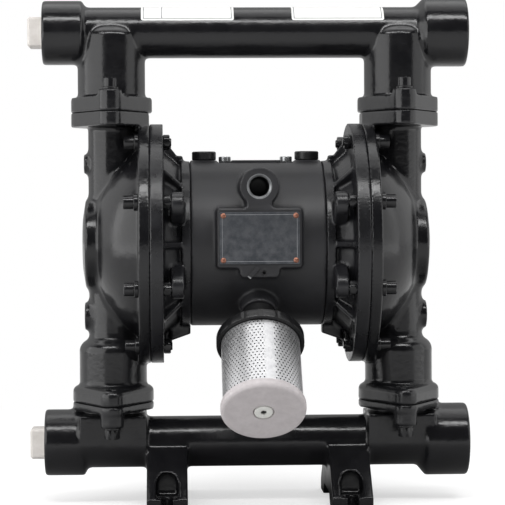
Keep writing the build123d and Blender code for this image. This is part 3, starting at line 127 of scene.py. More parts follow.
def socket_screw(head_r, head_height, shank_r, shank_length, key_r=3.0):
    """Cap screw: knurled head with a hexagon socket above Z = 0, shank below."""
    edge = 0.9
    key_depth = 0.55 * head_height
    bm = turned(
        [
            (0.0, head_height - key_depth),
            (key_r, head_height - key_depth),
            (key_r, head_height - 0.4),
            (key_r + 0.5, head_height),
            (head_r - edge, head_height),
            (head_r - 0.3 * edge, head_height - 0.3 * edge),
            (head_r, head_height - edge),
            (head_r - 0.001, 0.5),
            (head_r - 0.5, 0.0),
            (shank_r, 0.0),
            (shank_r, 0.6 - shank_length),
            (shank_r - 0.6, -shank_length),
            (0.0, -shank_length),
        ],
        knurl_steps,
    )
    make_hexagonal(ring_of(bm, key_r), 0.95 * key_r)
    for v in ring_of(bm, head_r) + ring_of(bm, head_r - 0.001):
        if round(degrees(turn_of(v)) / (360.0 / knurl_steps)) % 2:
            draw_in(v, 0.98)
    return bm


def hexagon_nut(flat_r, height, bore_r):
    """Nut standing on Z = 0, its corners chamfered at both ends."""
    corner_r = flat_r / cos(radians(30.0))
    edge = 0.9
    bm = turned(
        [
            (bore_r, 0.0),
            (corner_r - 0.01, 0.0),
            (corner_r, edge),
            (corner_r, height - edge),
            (corner_r - 0.01, height),
            (bore_r + 0.6, height),
            (bore_r, height - 0.6),
            (bore_r, 0.0),
        ],
        36,
    )
    make_hexagonal(ring_of(bm, corner_r), flat_r)
    make_hexagonal(ring_of(bm, corner_r - 0.01), flat_r, flat_r + 0.1)
    return bm


def hexagon_bolt(flat_r, head_height, shank_r, shank_length):
    """Hexagon head above Z = 0 with its shank below."""
    corner_r = flat_r / cos(radians(30.0))
    edge = 0.9
    bm = turned(
        [
            (0.0, head_height),
            (corner_r - 0.01, head_height),
            (corner_r, head_height - edge),
            (corner_r, 0.5),
            (corner_r - 0.02, 0.0),
            (shank_r, 0.0),
            (shank_r, 0.6 - shank_length),
            (shank_r - 0.6, -shank_length),
            (0.0, -shank_length),
        ],
        36,
    )
    make_hexagonal(ring_of(bm, corner_r), flat_r)
    make_hexagonal(ring_of(bm, corner_r - 0.01), flat_r, flat_r + 0.1)
    make_hexagonal(ring_of(bm, corner_r - 0.02), flat_r, flat_r + 0.2)
    return bm


def plain_washer(outer_r, inner_r, height):
    """Stamped washer standing on Z = 0 with broken edges."""
    edge = min(0.4, height / 3)
    return turned(
        [
            (inner_r, 0.0),
            (outer_r - edge, 0.0),
            (outer_r, edge),
            (outer_r, height - edge),
            (outer_r - edge, height),
            (inner_r, height),
            (inner_r, 0.0),
        ],
        40,
    )


def repeated(bm, places):
    """Copies one shape to several places."""
    pattern = bpy.data.meshes.new("pattern")
    bm.to_mesh(pattern)
    bm.free()
    many = bmesh.new()
    for place in places:
        first = len(many.verts)
        many.from_mesh(pattern)
        many.verts.ensure_lookup_table()
        bmesh.ops.transform(many, matrix=place, verts=many.verts[first:])
    bpy.data.meshes.remove(pattern)
    return many


def facing(point, way, turn=0.0):
    """Place at a point with Z turned to a direction."""
    tilt = Vector(way).to_track_quat("Z", "Y").to_matrix().to_4x4()
    return Matrix.Translation(point) @ tilt @ Matrix.Rotation(radians(turn), 4, "Z")


def block(size):
    """Box of a size about the origin."""
    bm = bmesh.new()
    bmesh.ops.create_cube(bm, size=1.0)
    bmesh.ops.scale(bm, vec=size, verts=bm.verts)
    return bm


def round_edges(bm, edges, offset, segments):
    """Bevels edges to a round."""
    bmesh.ops.bevel(
        bm,
        geom=edges,
        affect="EDGES",
        offset=offset,
        segments=segments,
        profile=0.5,
        material=-1,
    )


def linked(name, data):
    """A new object in the scene."""
    thing = bpy.data.objects.new(name, data)
    scene.collection.objects.link(thing)
    return thing


def evaluated_mesh(helper):
    """The mesh that a helper object's modifiers give. The helper is removed."""
    view = bpy.context.evaluated_depsgraph_get()
    mesh = bpy.data.meshes.new_from_object(helper.evaluated_get(view))
    bpy.data.objects.remove(helper)
    return mesh


def shaped(name, bm, skin, smooth_angle=35.0):
    """An object of a shape in millimetres, in its finish."""
    bmesh.ops.scale(bm, vec=(MM, MM, MM), verts=bm.verts)
    mesh = bpy.data.meshes.new(name)
    bm.to_mesh(mesh)
    bm.free()
    mesh.shade_smooth()
    mesh.set_sharp_from_angle(angle=radians(smooth_angle))
    mesh.materials.append(skins[skin])
    return linked(name, mesh)


def finished(name, bm, skin, stands_for=(), body=HOUSING, smooth_angle=35.0):
    """Turns a shape in millimetres into a piece that rides on its body."""
    piece = shaped(name, bm, skin, smooth_angle)
    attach(piece, body)
    if stands_for:
        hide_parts(*stands_for)
    return piece


# ------------------------------------------------------------ finishes
def colour(code):
    """Linear colour of an sRGB hex value."""
    parts = [int(code[at : at + 2], 16) / 255 for at in (1, 3, 5)]
    linear = [c / 12.92 if c <= 0.04045 else ((c + 0.055) / 1.055) ** 2.4 for c in parts]
    return (*linear, 1.0)


def add(tree, kind, inputs=None, **settings):
    """Adds a node with its settings, values and links."""
    node = tree.nodes.new("ShaderNode" + kind)
    for name, value in settings.items():
        setattr(node, name, value)
    for socket, value in (inputs or {}).items():
        if isinstance(value, bpy.types.NodeSocket):
            tree.links.new(value, node.inputs[socket])
        else:
            node.inputs[socket].default_value = value
    return node


skins = {}


def finish(
    name,
    main,
    patch,
    rough,
    patch_mm,
    grain_mm,
    grain_depth,
    wave_mm=0.0,
    wave_depth=0.0,
    stretch=(1.0, 1.0, 1.0),
    metallic=0.0,
):
    """A finish from two colours in patches, two roughnesses, a fine grain and a slow wave.
    Lengths and depths are in millimetres."""
    skin = bpy.data.materials.new(name)
    skin.use_nodes = True
    tree = skin.node_tree
    tree.nodes.clear()
    place = add(tree, "TexCoord").outputs["Object"]
    along = add(tree, "Mapping", {"Vector": place, "Scale": stretch}).outputs["Vector"]
    patches = add(
        tree,
        "TexNoise",
        {"Vector": place, "Scale": 1 / (patch_mm * MM), "Detail": 4.0, "Roughness": 0.6},
    ).outputs["Fac"]
    spread = add(
        tree, "MapRange", {"Value": patches, "From Min": 0.35, "From Max": 0.65}
    ).outputs["Result"]
    tint = add(
        tree, "Mix", {0: spread, 6: colour(main), 7: colour(patch)}, data_type="RGBA"
    ).outputs[2]
    rub = add(
        tree, "MapRange", {"Value": spread, "To Min": rough[0], "To Max": rough[1]}
    ).outputs["Result"]
    grain = add(
        tree,
        "TexNoise",
        {"Vector": along, "Scale": 1 / (grain_mm * MM), "Detail": 3.0, "Roughness": 0.55},
    ).outputs["Fac"]
    bump = add(
        tree, "Bump", {"Height": grain, "Distance": grain_depth * MM, "Strength": 1.0}
    ).outputs["Normal"]
    if wave_mm:
        wave = add(
            tree, "TexNoise", {"Vector": place, "Scale": 1 / (wave_mm * MM), "Detail": 2.0}
        ).outputs["Fac"]
        bump = add(
            tree,
            "Bump",
            {"Height": wave, "Distance": wave_depth * MM, "Strength": 1.0, "Normal": bump},
        ).outputs["Normal"]
    surface = add(
        tree,
        "BsdfPrincipled",
        {
            "Base Color": tint,
            "Roughness": rub,
            "Metallic": metallic,
            "IOR": 1.5,
            "Normal": bump,
        },
    )
    add(tree, "OutputMaterial", {"Surface": surface.outputs["BSDF"]})
    skins[name] = skin


# Glossy stoving enamel on sand-cast iron: deep black, the sand's grain and slow hollows
# still show through the paint and break the reflections.
finish("black_enamel", "#131315", "#18181a", (0.15, 0.24), 26.0, 1.4, 0.04, 5.5, 0.17)
# The same black enamel sprayed thin over the air caps, so it dries to a satin.
finish("satin_enamel", "#19191b", "#1f1f22", (0.24, 0.35), 26.0, 1.4, 0.05, 7.0, 0.2)
# Satin charcoal enamel on machined and die-cast aluminium: greyer, with a soft wide sheen.
finish("charcoal_enamel", "#232325", "#29292c", (0.4, 0.5), 40.0, 0.9, 0.05, 12.0, 0.2)
# Zinc-plated steel: pale grey with a faint mottled shine.
finish("zinc_steel", "#c3c5c6", "#a9abad", (0.26, 0.38), 3.0, 0.4, 0.02, metallic=1.0)
# Turned stainless steel: bright, a little warmer than the zinc.
finish("stainless_steel", "#b4b4b2", "#a0a09e", (0.22, 0.34), 6.0, 0.5, 0.02, metallic=1.0)
# Moulded black ABS: fine spark-eroded texture, soft highlights.
finish("black_plastic", "#141415", "#19191a", (0.3, 0.42), 14.0, 0.5, 0.04)
# Moulded polyethylene plug: a faintly warm grey white, waxy.
finish("beige_plastic", "#d9d5d1", "#cdc8c3", (0.4, 0.55), 12.0, 0.8, 0.05)
# Grey moulded nylon cap: pale grey, matt, faint flow marks.
finish("grey_plastic", "#c5bfc0", "#bab4b5", (0.45, 0.6), 9.0, 0.5, 0.05)
# White PTFE, as of the balls, and also on the muffler's tie screw: nearly matt.
finish("white_plastic", "#e4e4e0", "#d9d9d4", (0.4, 0.5), 12.0, 0.8, 0.03)
# Vinyl film: clean white with a low gloss.
finish("sticker_film", "#f0f0ee", "#ebebe8", (0.3, 0.38), 20.0, 1.2, 0.01)
# Grey ink of the ruled lines and the plate's border.
finish("printed_rule", "#8a8c8f", "#7f8184", (0.4, 0.5), 6.0, 0.6, 0.01)
# Tinned perforated steel sheet: bright, its shine broken by the holes.
finish("screen_metal", "#dfdfe0", "#cfcfd1", (0.34, 0.46), 4.0, 0.6, 0.02, metallic=1.0)
# Anodised plate in slate grey: fine horizontal brushing under the dye.
finish(
    "slate_plate",
    "#5a5c60",
    "#43464b",
    (0.36, 0.52),
    7.0,
    0.25,
    0.02,
    stretch=(0.05, 1.0, 1.0),
    metallic=0.6,
)
# Copper rivets, slightly dulled.
finish("copper", "#b5806c", "#8c6253", (0.34, 0.48), 1.5, 0.4, 0.02, metallic=1.0)
# Sintered bronze bushes: brown yellow with fine pores.
finish("bronze", "#a98352", "#8f6c42", (0.35, 0.5), 4.0, 0.3, 0.03, metallic=1.0)
# Moulded nitrile rubber: near black, dry, faint bloom.
finish("rubber", "#1e1e1e", "#2a2a29", (0.6, 0.75), 10.0, 0.6, 0.04)
# Machined aluminium: fine turning marks.
finish("aluminium", "#b9bbbd", "#a7a9ab", (0.3, 0.42), 8.0, 0.35, 0.02, metallic=1.0)
# Needled polyester packing: dark, loose and fibrous.
finish("felt", "#3a3a3a", "#555555", (0.85, 0.95), 2.0, 0.6, 0.5)

# ------------------------------------------------------------ castings
most_faces = 150000
face_join = 1e-5
# The webs between each dome and its columns, in metres: beyond web_x, within web_half_y of the
# middle and within web_half_z of web_z. Vertices there may move by up to web_fill millimetres.
web_x, web_half_y = 0.116, 0.036
web_z, web_half_z = 0.26, 0.11
web_fill = 4.5
# How far a vertex is pulled outwards, in millimetres, before it counts as wholly hollow.
full_hollow = 0.004


def eased_mesh(name, grid, hollow_passes, edge_passes, most_fill, web_passes=0):
    """A node's mesh, its inside corners filled and its edges eased as a sand mould leaves them.
    The web passes come first and fill between the dome and the columns only."""
    rough = linked("rough", nodes[name].data.copy())
    rough.modifiers.new("joined faces", "WELD").merge_threshold = face_join
    skin = rough.modifiers.new("cast skin", "REMESH")
    skin.mode = "VOXEL"
    skin.voxel_size = grid * MM
    mesh = evaluated_mesh(rough)
    count = len(mesh.vertices)
    at = np.empty(count * 3)
    mesh.vertices.foreach_get("co", at)
    at = at.reshape(-1, 3)
    ends = np.empty(len(mesh.edges) * 2, int)
    mesh.edges.foreach_get("vertices", ends)
    ends = ends.reshape(-1, 2)
    near = np.bincount(ends.ravel(), minlength=count)[:, None]
    start = at.copy()
    webs = (
        (np.abs(at[:, 0]) > web_x)
        & (np.abs(at[:, 1]) < web_half_y)
        & (np.abs(at[:, 2] - web_z) < web_half_z)
    )
    most = np.where(webs, web_fill, most_fill)[:, None] if web_passes else most_fill
    normal = np.empty(count * 3)
    hollow_passes += web_passes
    for step in range(hollow_passes + edge_passes):
        pull = np.empty_like(at)
        for axis in range(3):
            pull[:, axis] = np.bincount(
                ends.ravel(), weights=at[ends[:, ::-1].ravel(), axis], minlength=count
            )
        pull = pull / near - at
        if step < hollow_passes:
            mesh.vertices.foreach_set("co", at.ravel())
            mesh.update()
            mesh.vertices.foreach_get("normal", normal)
            outward = (pull * normal.reshape(-1, 3)).sum(1, keepdims=True)
            pull *= np.clip(outward / (full_hollow * MM), 0.0, 1.0)
            if step < web_passes:
                pull[~webs] = 0.0
        at += 0.5 * pull
        moved = at - start
        reach = np.linalg.norm(moved, axis=1, keepdims=True)
        at = start + moved * np.minimum(1.0, most * MM / np.maximum(reach, 1e-9))
    mesh.vertices.foreach_set("co", at.ravel())
    mesh.update()
    eased = linked("eased", mesh)
    fewer = eased.modifiers.new("fewer faces", "DECIMATE")
    fewer.ratio = min(1.0, most_faces / (2 * len(mesh.polygons)))
    return evaluated_mesh(eased)


# Finish, grid in millimetres, passes that fill hollows, passes that ease edges, most that a
# vertex moves in millimetres, and passes for the webs alone.
CASTINGS = {
    "outlet_manifold": ("black_enamel", 1.3, 14, 2, 1.6),
    "inlet_manifold": ("black_enamel", 1.3, 12, 2, 1.6),
    "fluid_cap_left": ("black_enamel", 1.2, 10, 2, 1.3, 55),
    "fluid_cap_right": ("black_enamel", 1.2, 10, 2, 1.3, 55),
    "air_cap_left": ("satin_enamel", 1.2, 8, 2, 1.2),
    "air_cap_right": ("satin_enamel", 1.2, 8, 2, 1.2),
    "centre_body": ("charcoal_enamel", 1.4, 6, 2, 1.2),
    "valve_block": ("charcoal_enamel", 1.0, 3, 3, 1.0),
    "valve_end_cap_left": ("charcoal_enamel", 0.8, 3, 3, 1.0),
    "valve_end_cap_right": ("charcoal_enamel", 0.8, 3, 3, 1.0),
}
for name, (skin, *shape) in CASTINGS.items():
    mesh = eased_mesh(name, *shape)
    mesh.name = f"{name}_casting"
    mesh.shade_smooth()
    mesh.materials.clear()
    mesh.materials.append(skins[skin])
    piece = linked(f"{name}_casting", mesh)
    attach(piece, HOUSING)
    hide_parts(name)


def dress(node, skin):
    """Joins a node's loose triangles and gives it its finish."""
    node.modifiers.new("joined faces", "WELD").merge_threshold = face_join
    node.data.materials.clear()
    node.data.materials.append(skins[skin])


# Finish, grid in millimetres, smoothing passes.
MOULDINGS = {
    "muffler_end_cap": ("grey_plastic", 0.7, 3),
    "outlet_port_plug": ("beige_plastic", 0.6, 3),
    "inlet_port_plug": ("beige_plastic", 0.6, 3),
    "top_plugs": ("black_plastic", 0.5, 1),
    "top_cover": ("charcoal_enamel", 0.5, 2),
}
for name, (skin, grid, passes) in MOULDINGS.items():
    node = nodes[name]
    dress(node, skin)
    shell = node.modifiers.new("moulded skin", "REMESH")
    shell.mode = "VOXEL"
    shell.voxel_size = grid * MM
    shell.use_smooth_shade = True
    rounding = node.modifiers.new("moulded edges", "SMOOTH")
    rounding.factor = 0.5
    rounding.iterations = passes

PLAIN_NODES = {
    "air_side_plate_left": "zinc_steel",
    "air_side_plate_right": "zinc_steel",
    "fluid_side_plate_left": "stainless_steel",
    "fluid_side_plate_right": "stainless_steel",
    "connecting_rod": "stainless_steel",
    "pilot_rod": "stainless_steel",
    "rod_bushes": "bronze",
    "pilot_bushes": "bronze",
    "rod_seals": "rubber",
    "seat_o_rings": "rubber",
    "inlet_ball_left": "white_plastic",
    "inlet_ball_right": "white_plastic",
    "outlet_ball_left": "white_plastic",
    "outlet_ball_right": "white_plastic",
    "inlet_valve_seats": "stainless_steel",
    "outlet_valve_seats": "stainless_steel",
    "air_cap_screws": "zinc_steel",
    "valve_gasket": "rubber",
    "valve_sleeve": "aluminium",
    "valve_spool": "aluminium",
    "muffler_packing": "felt",
}
for name, skin in PLAIN_NODES.items():
    dress(nodes[name], skin)

# Small ribs under the upper flanges, on the inner side of each column.
rib_size = (13.0, 12.0, 9.0)
rib_x, rib_z = 120.0, 370.5
for hand, side in SIDES:
    rib = block(rib_size)
    round_edges(rib, rib.edges[:], offset=2.0, segments=3)
    bmesh.ops.translate(rib, vec=(side * rib_x, 0.0, rib_z), verts=rib.verts)
    finished(f"flange_rib_{hand}", rib, "black_enamel")

# ------------------------------------------------------------ diaphragms
# Each rubber disc is clamped at its rim and carried by the plates at its middle; it is built as
# equal sectors.
seam_x, half_t = 105.5, 2.5
hub_r, carried_r, plate_r, free_r, rim_r = 8.0, 30.0, 46.0, 87.0, 98.0
roll_height = 6.0
roll_half = (free_r - plate_r) / 2
roll_r = (roll_half**2 + roll_height**2) / (2 * roll_height)
sectors = 12
sector_angle = radians(30.0)


def roll_at(radius):
    """How far the roll of the rubber stands out at a radius."""
    if not plate_r < radius < free_r:
        return 0.0
    return sqrt(roll_r**2 - (radius - (plate_r + free_r) / 2) ** 2) - roll_r + roll_height


roll_rings = [plate_r + 2 * roll_half * k / 10 for k in range(1, 10)]
rings = [hub_r, carried_r, plate_r] + roll_rings + [free_r, rim_r]
for hand, side in SIDES:
    for part in range(sectors):
        wedge = bmesh.new()
        loop = [(r, half_t + roll_at(r)) for r in rings]
        loop += [(r, roll_at(r) - half_t) for r in reversed(rings)]
        points = [wedge.verts.new((side * (seam_x + out), 0.0, body_z + r)) for r, out in loop]
        line = [wedge.edges.new(pair) for pair in zip(points, points[1:] + points[:1])]
        turned_geom = bmesh.ops.spin(
            wedge,
            geom=points + line,
            cent=(0, 0, body_z),
            axis=(1, 0, 0),
            angle=sector_angle,
            steps=6,
        )["geom_last"]
        bmesh.ops.contextual_create(wedge, geom=line)
        bmesh.ops.contextual_create(
            wedge, geom=[g for g in turned_geom if isinstance(g, bmesh.types.BMEdge)]
        )
        bmesh.ops.recalc_face_normals(wedge, faces=wedge.faces)
        bmesh.ops.rotate(
            wedge,
            cent=(0, 0, body_z),
            matrix=Matrix.Rotation(part * sector_angle, 3, "X"),
            verts=wedge.verts,
        )
        piece = shaped(f"diaphragm_{hand}_sector_{part + 1}", wedge, "rubber")
        way = Matrix.Rotation((part + 0.5) * sector_angle, 3, "X") @ Vector((0, 0, 1))
        middle = Vector((side * seam_x, 0, body_z))
        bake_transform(piece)
        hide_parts(f"diaphragm_{hand}")

# ------------------------------------------------------------ screws, nuts and washers
disc_head_x, disc_washer_x, disc_nut_x = 120.3, 116.3, 92.3
outlet_head_z, outlet_washer_z = 411.0, 409.0
inlet_head_z, inlet_washer_z = 78.5, 80.5
disc_places = [
    (side, Vector((0.0, bolt_ring_r * sin(radians(a)), body_z + bolt_ring_r * cos(radians(a)))))
    for side in (-1, 1)
    for a in bolt_angles
]


def disc_row(distance, inward=False):
    """A place on each disc bolt's axis, that far from the centre plane, each turned differently."""
    return [
        facing(Vector((side * distance, 0, 0)) + at, (-side if inward else side, 0, 0), 17.0 * k)
        for k, (side, at) in enumerate(disc_places)
    ]


finished(
    "disc_bolt_set",
    repeated(socket_screw(6.5, 10.0, m8_r, 36.4), disc_row(disc_head_x)),
    "black_enamel",
    ["disc_bolts"],
)
finished(
    "disc_washer_set",
    repeated(plain_washer(8.2, m8_r, 4.0), disc_row(disc_washer_x)),
    "black_enamel",
    ["disc_washers"],
)
finished(
    "disc_nut_set",
    repeated(hexagon_nut(6.5, 6.8, m8_r), disc_row(disc_nut_x, inward=True)),
    "black_enamel",
    ["disc_nuts"],
)


def flange_row(z, way):
    """A place on each flange bolt's axis at a height, facing up or down."""
    return [
        facing((side * column_x, end * flange_bolt_y, z), (0, 0, way), 11.0 * side + 23.0 * end)
        for side in (-1, 1)
        for end in (-1, 1)
    ]


finished(
    "outlet_flange_screw_set",
    repeated(socket_screw(6.3, 9.0, m8_r, 37.0), flange_row(outlet_head_z, 1)),
    "black_enamel",
    ["outlet_flange_screws"],
)
finished(
    "inlet_flange_bolt_set",
    repeated(hexagon_bolt(6.5, 9.0, m8_r, 36.9), flange_row(inlet_head_z, -1)),
    "black_enamel",
    ["inlet_flange_bolts"],
)
finished(
    "flange_washer_set",
    repeated(
        plain_washer(8.0, m8_r, 2.0),
        flange_row(outlet_washer_z, 1) + flange_row(inlet_washer_z, -1),
    ),
    "black_enamel",
    ["flange_washers"],
)

cover_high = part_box("top_cover_screws")[1]
cover_screw_x = 30.6
cover_head_height = 5.2
cover_seat_z = cover_high.z / MM - cover_head_height
finished(
    "top_cover_screw_set",
    repeated(
        socket_screw(6.1, cover_head_height, m6_r, 12.0, key_r=m6_key_r),
        [
            facing((side * cover_screw_x, 0, cover_seat_z), (0, 0, 1), 20.0 * side)
            for side in (-1, 1)
        ],
    ),
    "zinc_steel",
    ["top_cover_screws"],
)
valve_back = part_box("valve_block")[1].y / MM
valve_screw_x, valve_screw_z = 30.0, 26.0
end_screw_x, end_screw_z = 60.0, 24.0
finished(
    "valve_mounting_screw_set",
    repeated(
        socket_screw(5.0, 6.0, m6_r, 51.0, key_r=m6_key_r),
        [
            facing((x, valve_back, body_z + z), (0, 1, 0), x + z)
            for x in (-valve_screw_x, valve_screw_x)
            for z in (-valve_screw_z, valve_screw_z)
        ],
    ),
    "zinc_steel",
    ["valve_mounting_screws"],
)
end_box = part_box("valve_end_screws")
end_y = (end_box[0].y + end_box[1].y) / 2 / MM
finished(
    "valve_end_screw_set",
    repeated(
        socket_screw(5.0, 6.0, m6_r, 20.8, key_r=m6_key_r),
        [
            facing((side * end_screw_x, end_y, body_z + z), (side, 0, 0), z)
            for side in (-1, 1)
            for z in (-end_screw_z, end_screw_z)
        ],
    ),
    "zinc_steel",
    ["valve_end_screws"],
)

# ------------------------------------------------------------ nameplate and rivets
plate_low, plate_high = (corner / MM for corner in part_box("nameplate"))
plate_bm = block(plate_high - plate_low)
bmesh.ops.translate(plate_bm, vec=(plate_low + plate_high) / 2, verts=plate_bm.verts)
corner_edges = [e for e in plate_bm.edges if abs(e.verts[0].co.y - e.verts[1].co.y) > 0.5]
round_edges(plate_bm, corner_edges, offset=1.6, segments=5)
front_edges = [
    e for e in plate_bm.edges if all(abs(v.co.y - plate_low.y) < 1e-3 for v in e.verts)
]
round_edges(plate_bm, front_edges, offset=0.25, segments=2)
finished("nameplate_blank", plate_bm, "slate_plate", ["nameplate"])

# Thin border printed on the plate: the ring between two rectangles, just proud of its face.
rule_insets = (2.4, 2.8)
rule_rise = 0.02
rule_bm = bmesh.new()
for inset in rule_insets:
    square = Matrix.Rotation(pi / 4, 4, "Z")
    bmesh.ops.create_circle(rule_bm, segments=4, radius=1.0, matrix=square)
    for v in rule_bm.verts[-4:]:
        v.co = Vector(
            (
                plate_low.x + inset if v.co.x < 0 else plate_high.x - inset,
                plate_low.y - rule_rise,
                plate_low.z + inset if v.co.y < 0 else plate_high.z - inset,
            )
        )
bmesh.ops.bridge_loops(rule_bm, edges=rule_bm.edges)
for f in rule_bm.faces:
    f.normal_update()
    if f.normal.y > 0:
        f.normal_flip()
finished("nameplate_rule", rule_bm, "printed_rule")

rivet_low, rivet_high = (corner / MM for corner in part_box("nameplate_rivets"))
rivet_r = 2.7
rivet_shank_r = 1.3
rivet_length = 4.9
rivet = turned(
    [
        (0.0, 1.1),
        (0.9, 1.02),
        (1.7, 0.75),
        (2.3, 0.38),
        (rivet_r, 0.0),
        (rivet_shank_r, 0.0),
        (rivet_shank_r, -rivet_length),
        (0.0, -rivet_length),
    ],
    24,
)
finished(
    "nameplate_rivet_set",
    repeated(
        rivet,
        [
            facing((x, plate_low.y, z), (0, -1, 0))
            for x in (rivet_low.x + rivet_r, rivet_high.x - rivet_r)
            for z in (rivet_low.z + rivet_r, rivet_high.z - rivet_r)
        ],
    ),
    "copper",
    ["nameplate_rivets"],
)

# ------------------------------------------------------------ muffler collar
# A disc with shallow notches round its rim, on a stepped neck. Distances run along the
# muffler's axis from the middle of the pump.
collar_start, collar_end = 126.0, 136.4
collar_r = 42.3
lip_r = 38.2
neck_r, neck_start = 15.0, 94.0
spigot_r, spigot_start = 12.0, 80.0
collar_steps = 192
notch_every, notch_width = 12, 2
shelf = turned(
    [
        (0.0, collar_end),
        (lip_r, collar_end),
        (lip_r, collar_end - 1.2),
        (39.0, collar_end - 0.4),
        (collar_r - 0.9, collar_end - 0.4),
        (collar_r - 0.3, collar_end - 0.7),
        (collar_r, collar_end - 1.4),
        (collar_r, collar_start + 1.4),
        (collar_r - 0.4, collar_start + 0.5),
        (collar_r - 1.3, collar_start),
        (neck_r, collar_start),
        (neck_r, neck_start),
        (spigot_r, neck_start),
        (spigot_r, spigot_start),
        (0.0, spigot_start),
    ],
    collar_steps,
)
for v in ring_of(shelf, collar_r):
    if round(degrees(turn_of(v)) / (360.0 / collar_steps)) % notch_every < notch_width:
        draw_in(v, 0.985)
finished(
    "muffler_collar_ring",
    repeated(shelf, [facing(body_middle, muffler_way)]),
    "black_plastic",
    ["muffler_collar"],
)

# ------------------------------------------------------------ muffler screen
# One cell of two holes, repeated round and along, is rolled into a tube.
screen_r = 37.8
screen_start = 136.4
screen_end = 212.0
screen_t = 0.8
holes_round = 62
hole_pitch = 2 * pi * screen_r / holes_round
row_pitch = hole_pitch * cos(radians(30.0))
row_pairs = round((screen_end - screen_start) / (2 * row_pitch))
row_pitch = (screen_end - screen_start) / (2 * row_pairs)
hole_r = 0.21 * hole_pitch

cell = bmesh.new()
for shift, row in ((0.0, 0), (0.5, 1)):
    middle = Vector((hole_pitch * shift, row_pitch * (row + 0.5), 0.0))
    at_middle = Matrix.Translation(middle)
    rim = bmesh.ops.create_circle(cell, segments=8, radius=hole_r, matrix=at_middle)["verts"]
    border = bmesh.ops.create_circle(cell, segments=8, radius=hole_pitch, matrix=at_middle)["verts"]
    for v in border:
        off = v.co - middle
        along = 0.0 if abs(off.x) < 0.1 else hole_pitch / 2 * (1 if off.x > 0 else -1)
        over = 0.0 if abs(off.y) < 0.1 else row_pitch / 2 * (1 if off.y > 0 else -1)
        v.co.x = middle.x + along
        v.co.y = middle.y + over
    loops = [e for e in cell.edges if all(v in rim + border for v in e.verts)]
    bmesh.ops.bridge_loops(cell, edges=loops)
    wall = bmesh.ops.extrude_edge_only(
        cell, edges=[e for e in cell.edges if all(v in rim for v in e.verts)]
    )["geom"]
    bmesh.ops.translate(
        cell, vec=(0, 0, -screen_t), verts=[g for g in wall if isinstance(g, bmesh.types.BMVert)]
    )
cell_mesh = bpy.data.meshes.new("screen cell")
cell.to_mesh(cell_mesh)
cell.free()
cell_piece = linked("screen cell", cell_mesh)
for count, step in ((holes_round, (hole_pitch, 0, 0)), (row_pairs, (0, 2 * row_pitch, 0))):
    row = cell_piece.modifiers.new("row", "ARRAY")
    row.count = count
    row.use_relative_offset = False
    row.use_constant_offset = True
    row.constant_offset_displace = step
screen_bm = bmesh.new()
screen_bm.from_mesh(evaluated_mesh(cell_piece))
for v in screen_bm.verts:
    angle = v.co.x / screen_r
    reach = screen_r + v.co.z
    across = Vector((1, 0, 0)) * sin(angle) * reach
    up = muffler_up * cos(angle) * reach
    v.co = body_middle + muffler_way * (screen_start + v.co.y) + across + up
bmesh.ops.remove_doubles(screen_bm, verts=screen_bm.verts, dist=1e-3)
finished("perforated_screen", screen_bm, "screen_metal", ["muffler_screen"], smooth_angle=50.0)

# Plain strip where the sheet's ends overlap, just proud of the tube.
seam = bmesh.new()
seam_start, seam_turn = radians(2.4), radians(14.4)
seam_r = screen_r + 0.12
seam_out = (Vector((1, 0, 0)) * sin(seam_start) + muffler_up * cos(seam_start)) * seam_r
seam_ends = [
    seam.verts.new(body_middle + muffler_way * along + seam_out)
    for along in (screen_start, screen_end)
]
bmesh.ops.spin(
    seam,
    geom=seam_ends + [seam.edges.new(seam_ends)],
    cent=(0, 0, body_z),
    axis=muffler_way,
    angle=-seam_turn,
    steps=8,
)
for f in seam.faces:
    f.normal_update()
    off = f.calc_center_median() - body_middle
    if f.normal.dot(off - muffler_way * off.dot(muffler_way)) < 0:
        f.normal_flip()
finished("screen_seam", seam, "screen_metal")

# Screw through the end cap, its head and washer in one, with a hexagon socket. Its face stands
# tie_reach along the muffler's axis from the middle of the pump.
tie_reach = 219.0
tie_socket_r, tie_socket_depth = 2.9, 7.0
tie_length = 82.0
tie = turned(
    [
        (0.0, -tie_socket_depth),
        (tie_socket_r, -tie_socket_depth),
        (tie_socket_r, -0.3),
        (3.4, 0.0),
        (7.6, 0.0),
        (8.5, -0.35),
        (8.9, -1.0),
        (8.9, -3.0),
        (m8_r, -3.0),
        (m8_r, -tie_length),
        (0.0, -tie_length),
    ],
    48,
)
make_hexagonal(ring_of(tie, tie_socket_r), 2.75)
finished(
    "muffler_tie_screw_set",
    repeated(tie, [facing(body_middle + muffler_way * tie_reach, muffler_way, 12.0)]),
    "white_plastic",
    ["muffler_tie_screw"],
)

# ------------------------------------------------------------ cut threads of the open ports
thread_start = -1.6
thread_wall = 0.5


def thread_rings(radius, crest, pitch, count):
    """Row of thread crests inside a bore that opens at Z = 0."""
    back_r = radius + thread_wall
    end = thread_start - count * pitch
    profile = [(back_r, thread_start)]
    for k in range(count):
        profile.append((radius, thread_start - k * pitch))
        profile.append((radius - crest, thread_start - (k + 0.5) * pitch))
    profile += [(radius, end), (back_r, end), (back_r, thread_start)]
    return turned(profile, 64)


port_bore_r = 22.4
port_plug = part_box("inlet_port_plug")
inlet_z = (port_plug[0].z + port_plug[1].z) / 2 / MM
finished(
    "port_thread_set",
    repeated(
        thread_rings(port_bore_r, 0.9, 2.2, 9),
        [facing((port_face_x, 0, z), (1, 0, 0)) for z in (outlet_z, inlet_z)],
    ),
    "black_enamel",
)
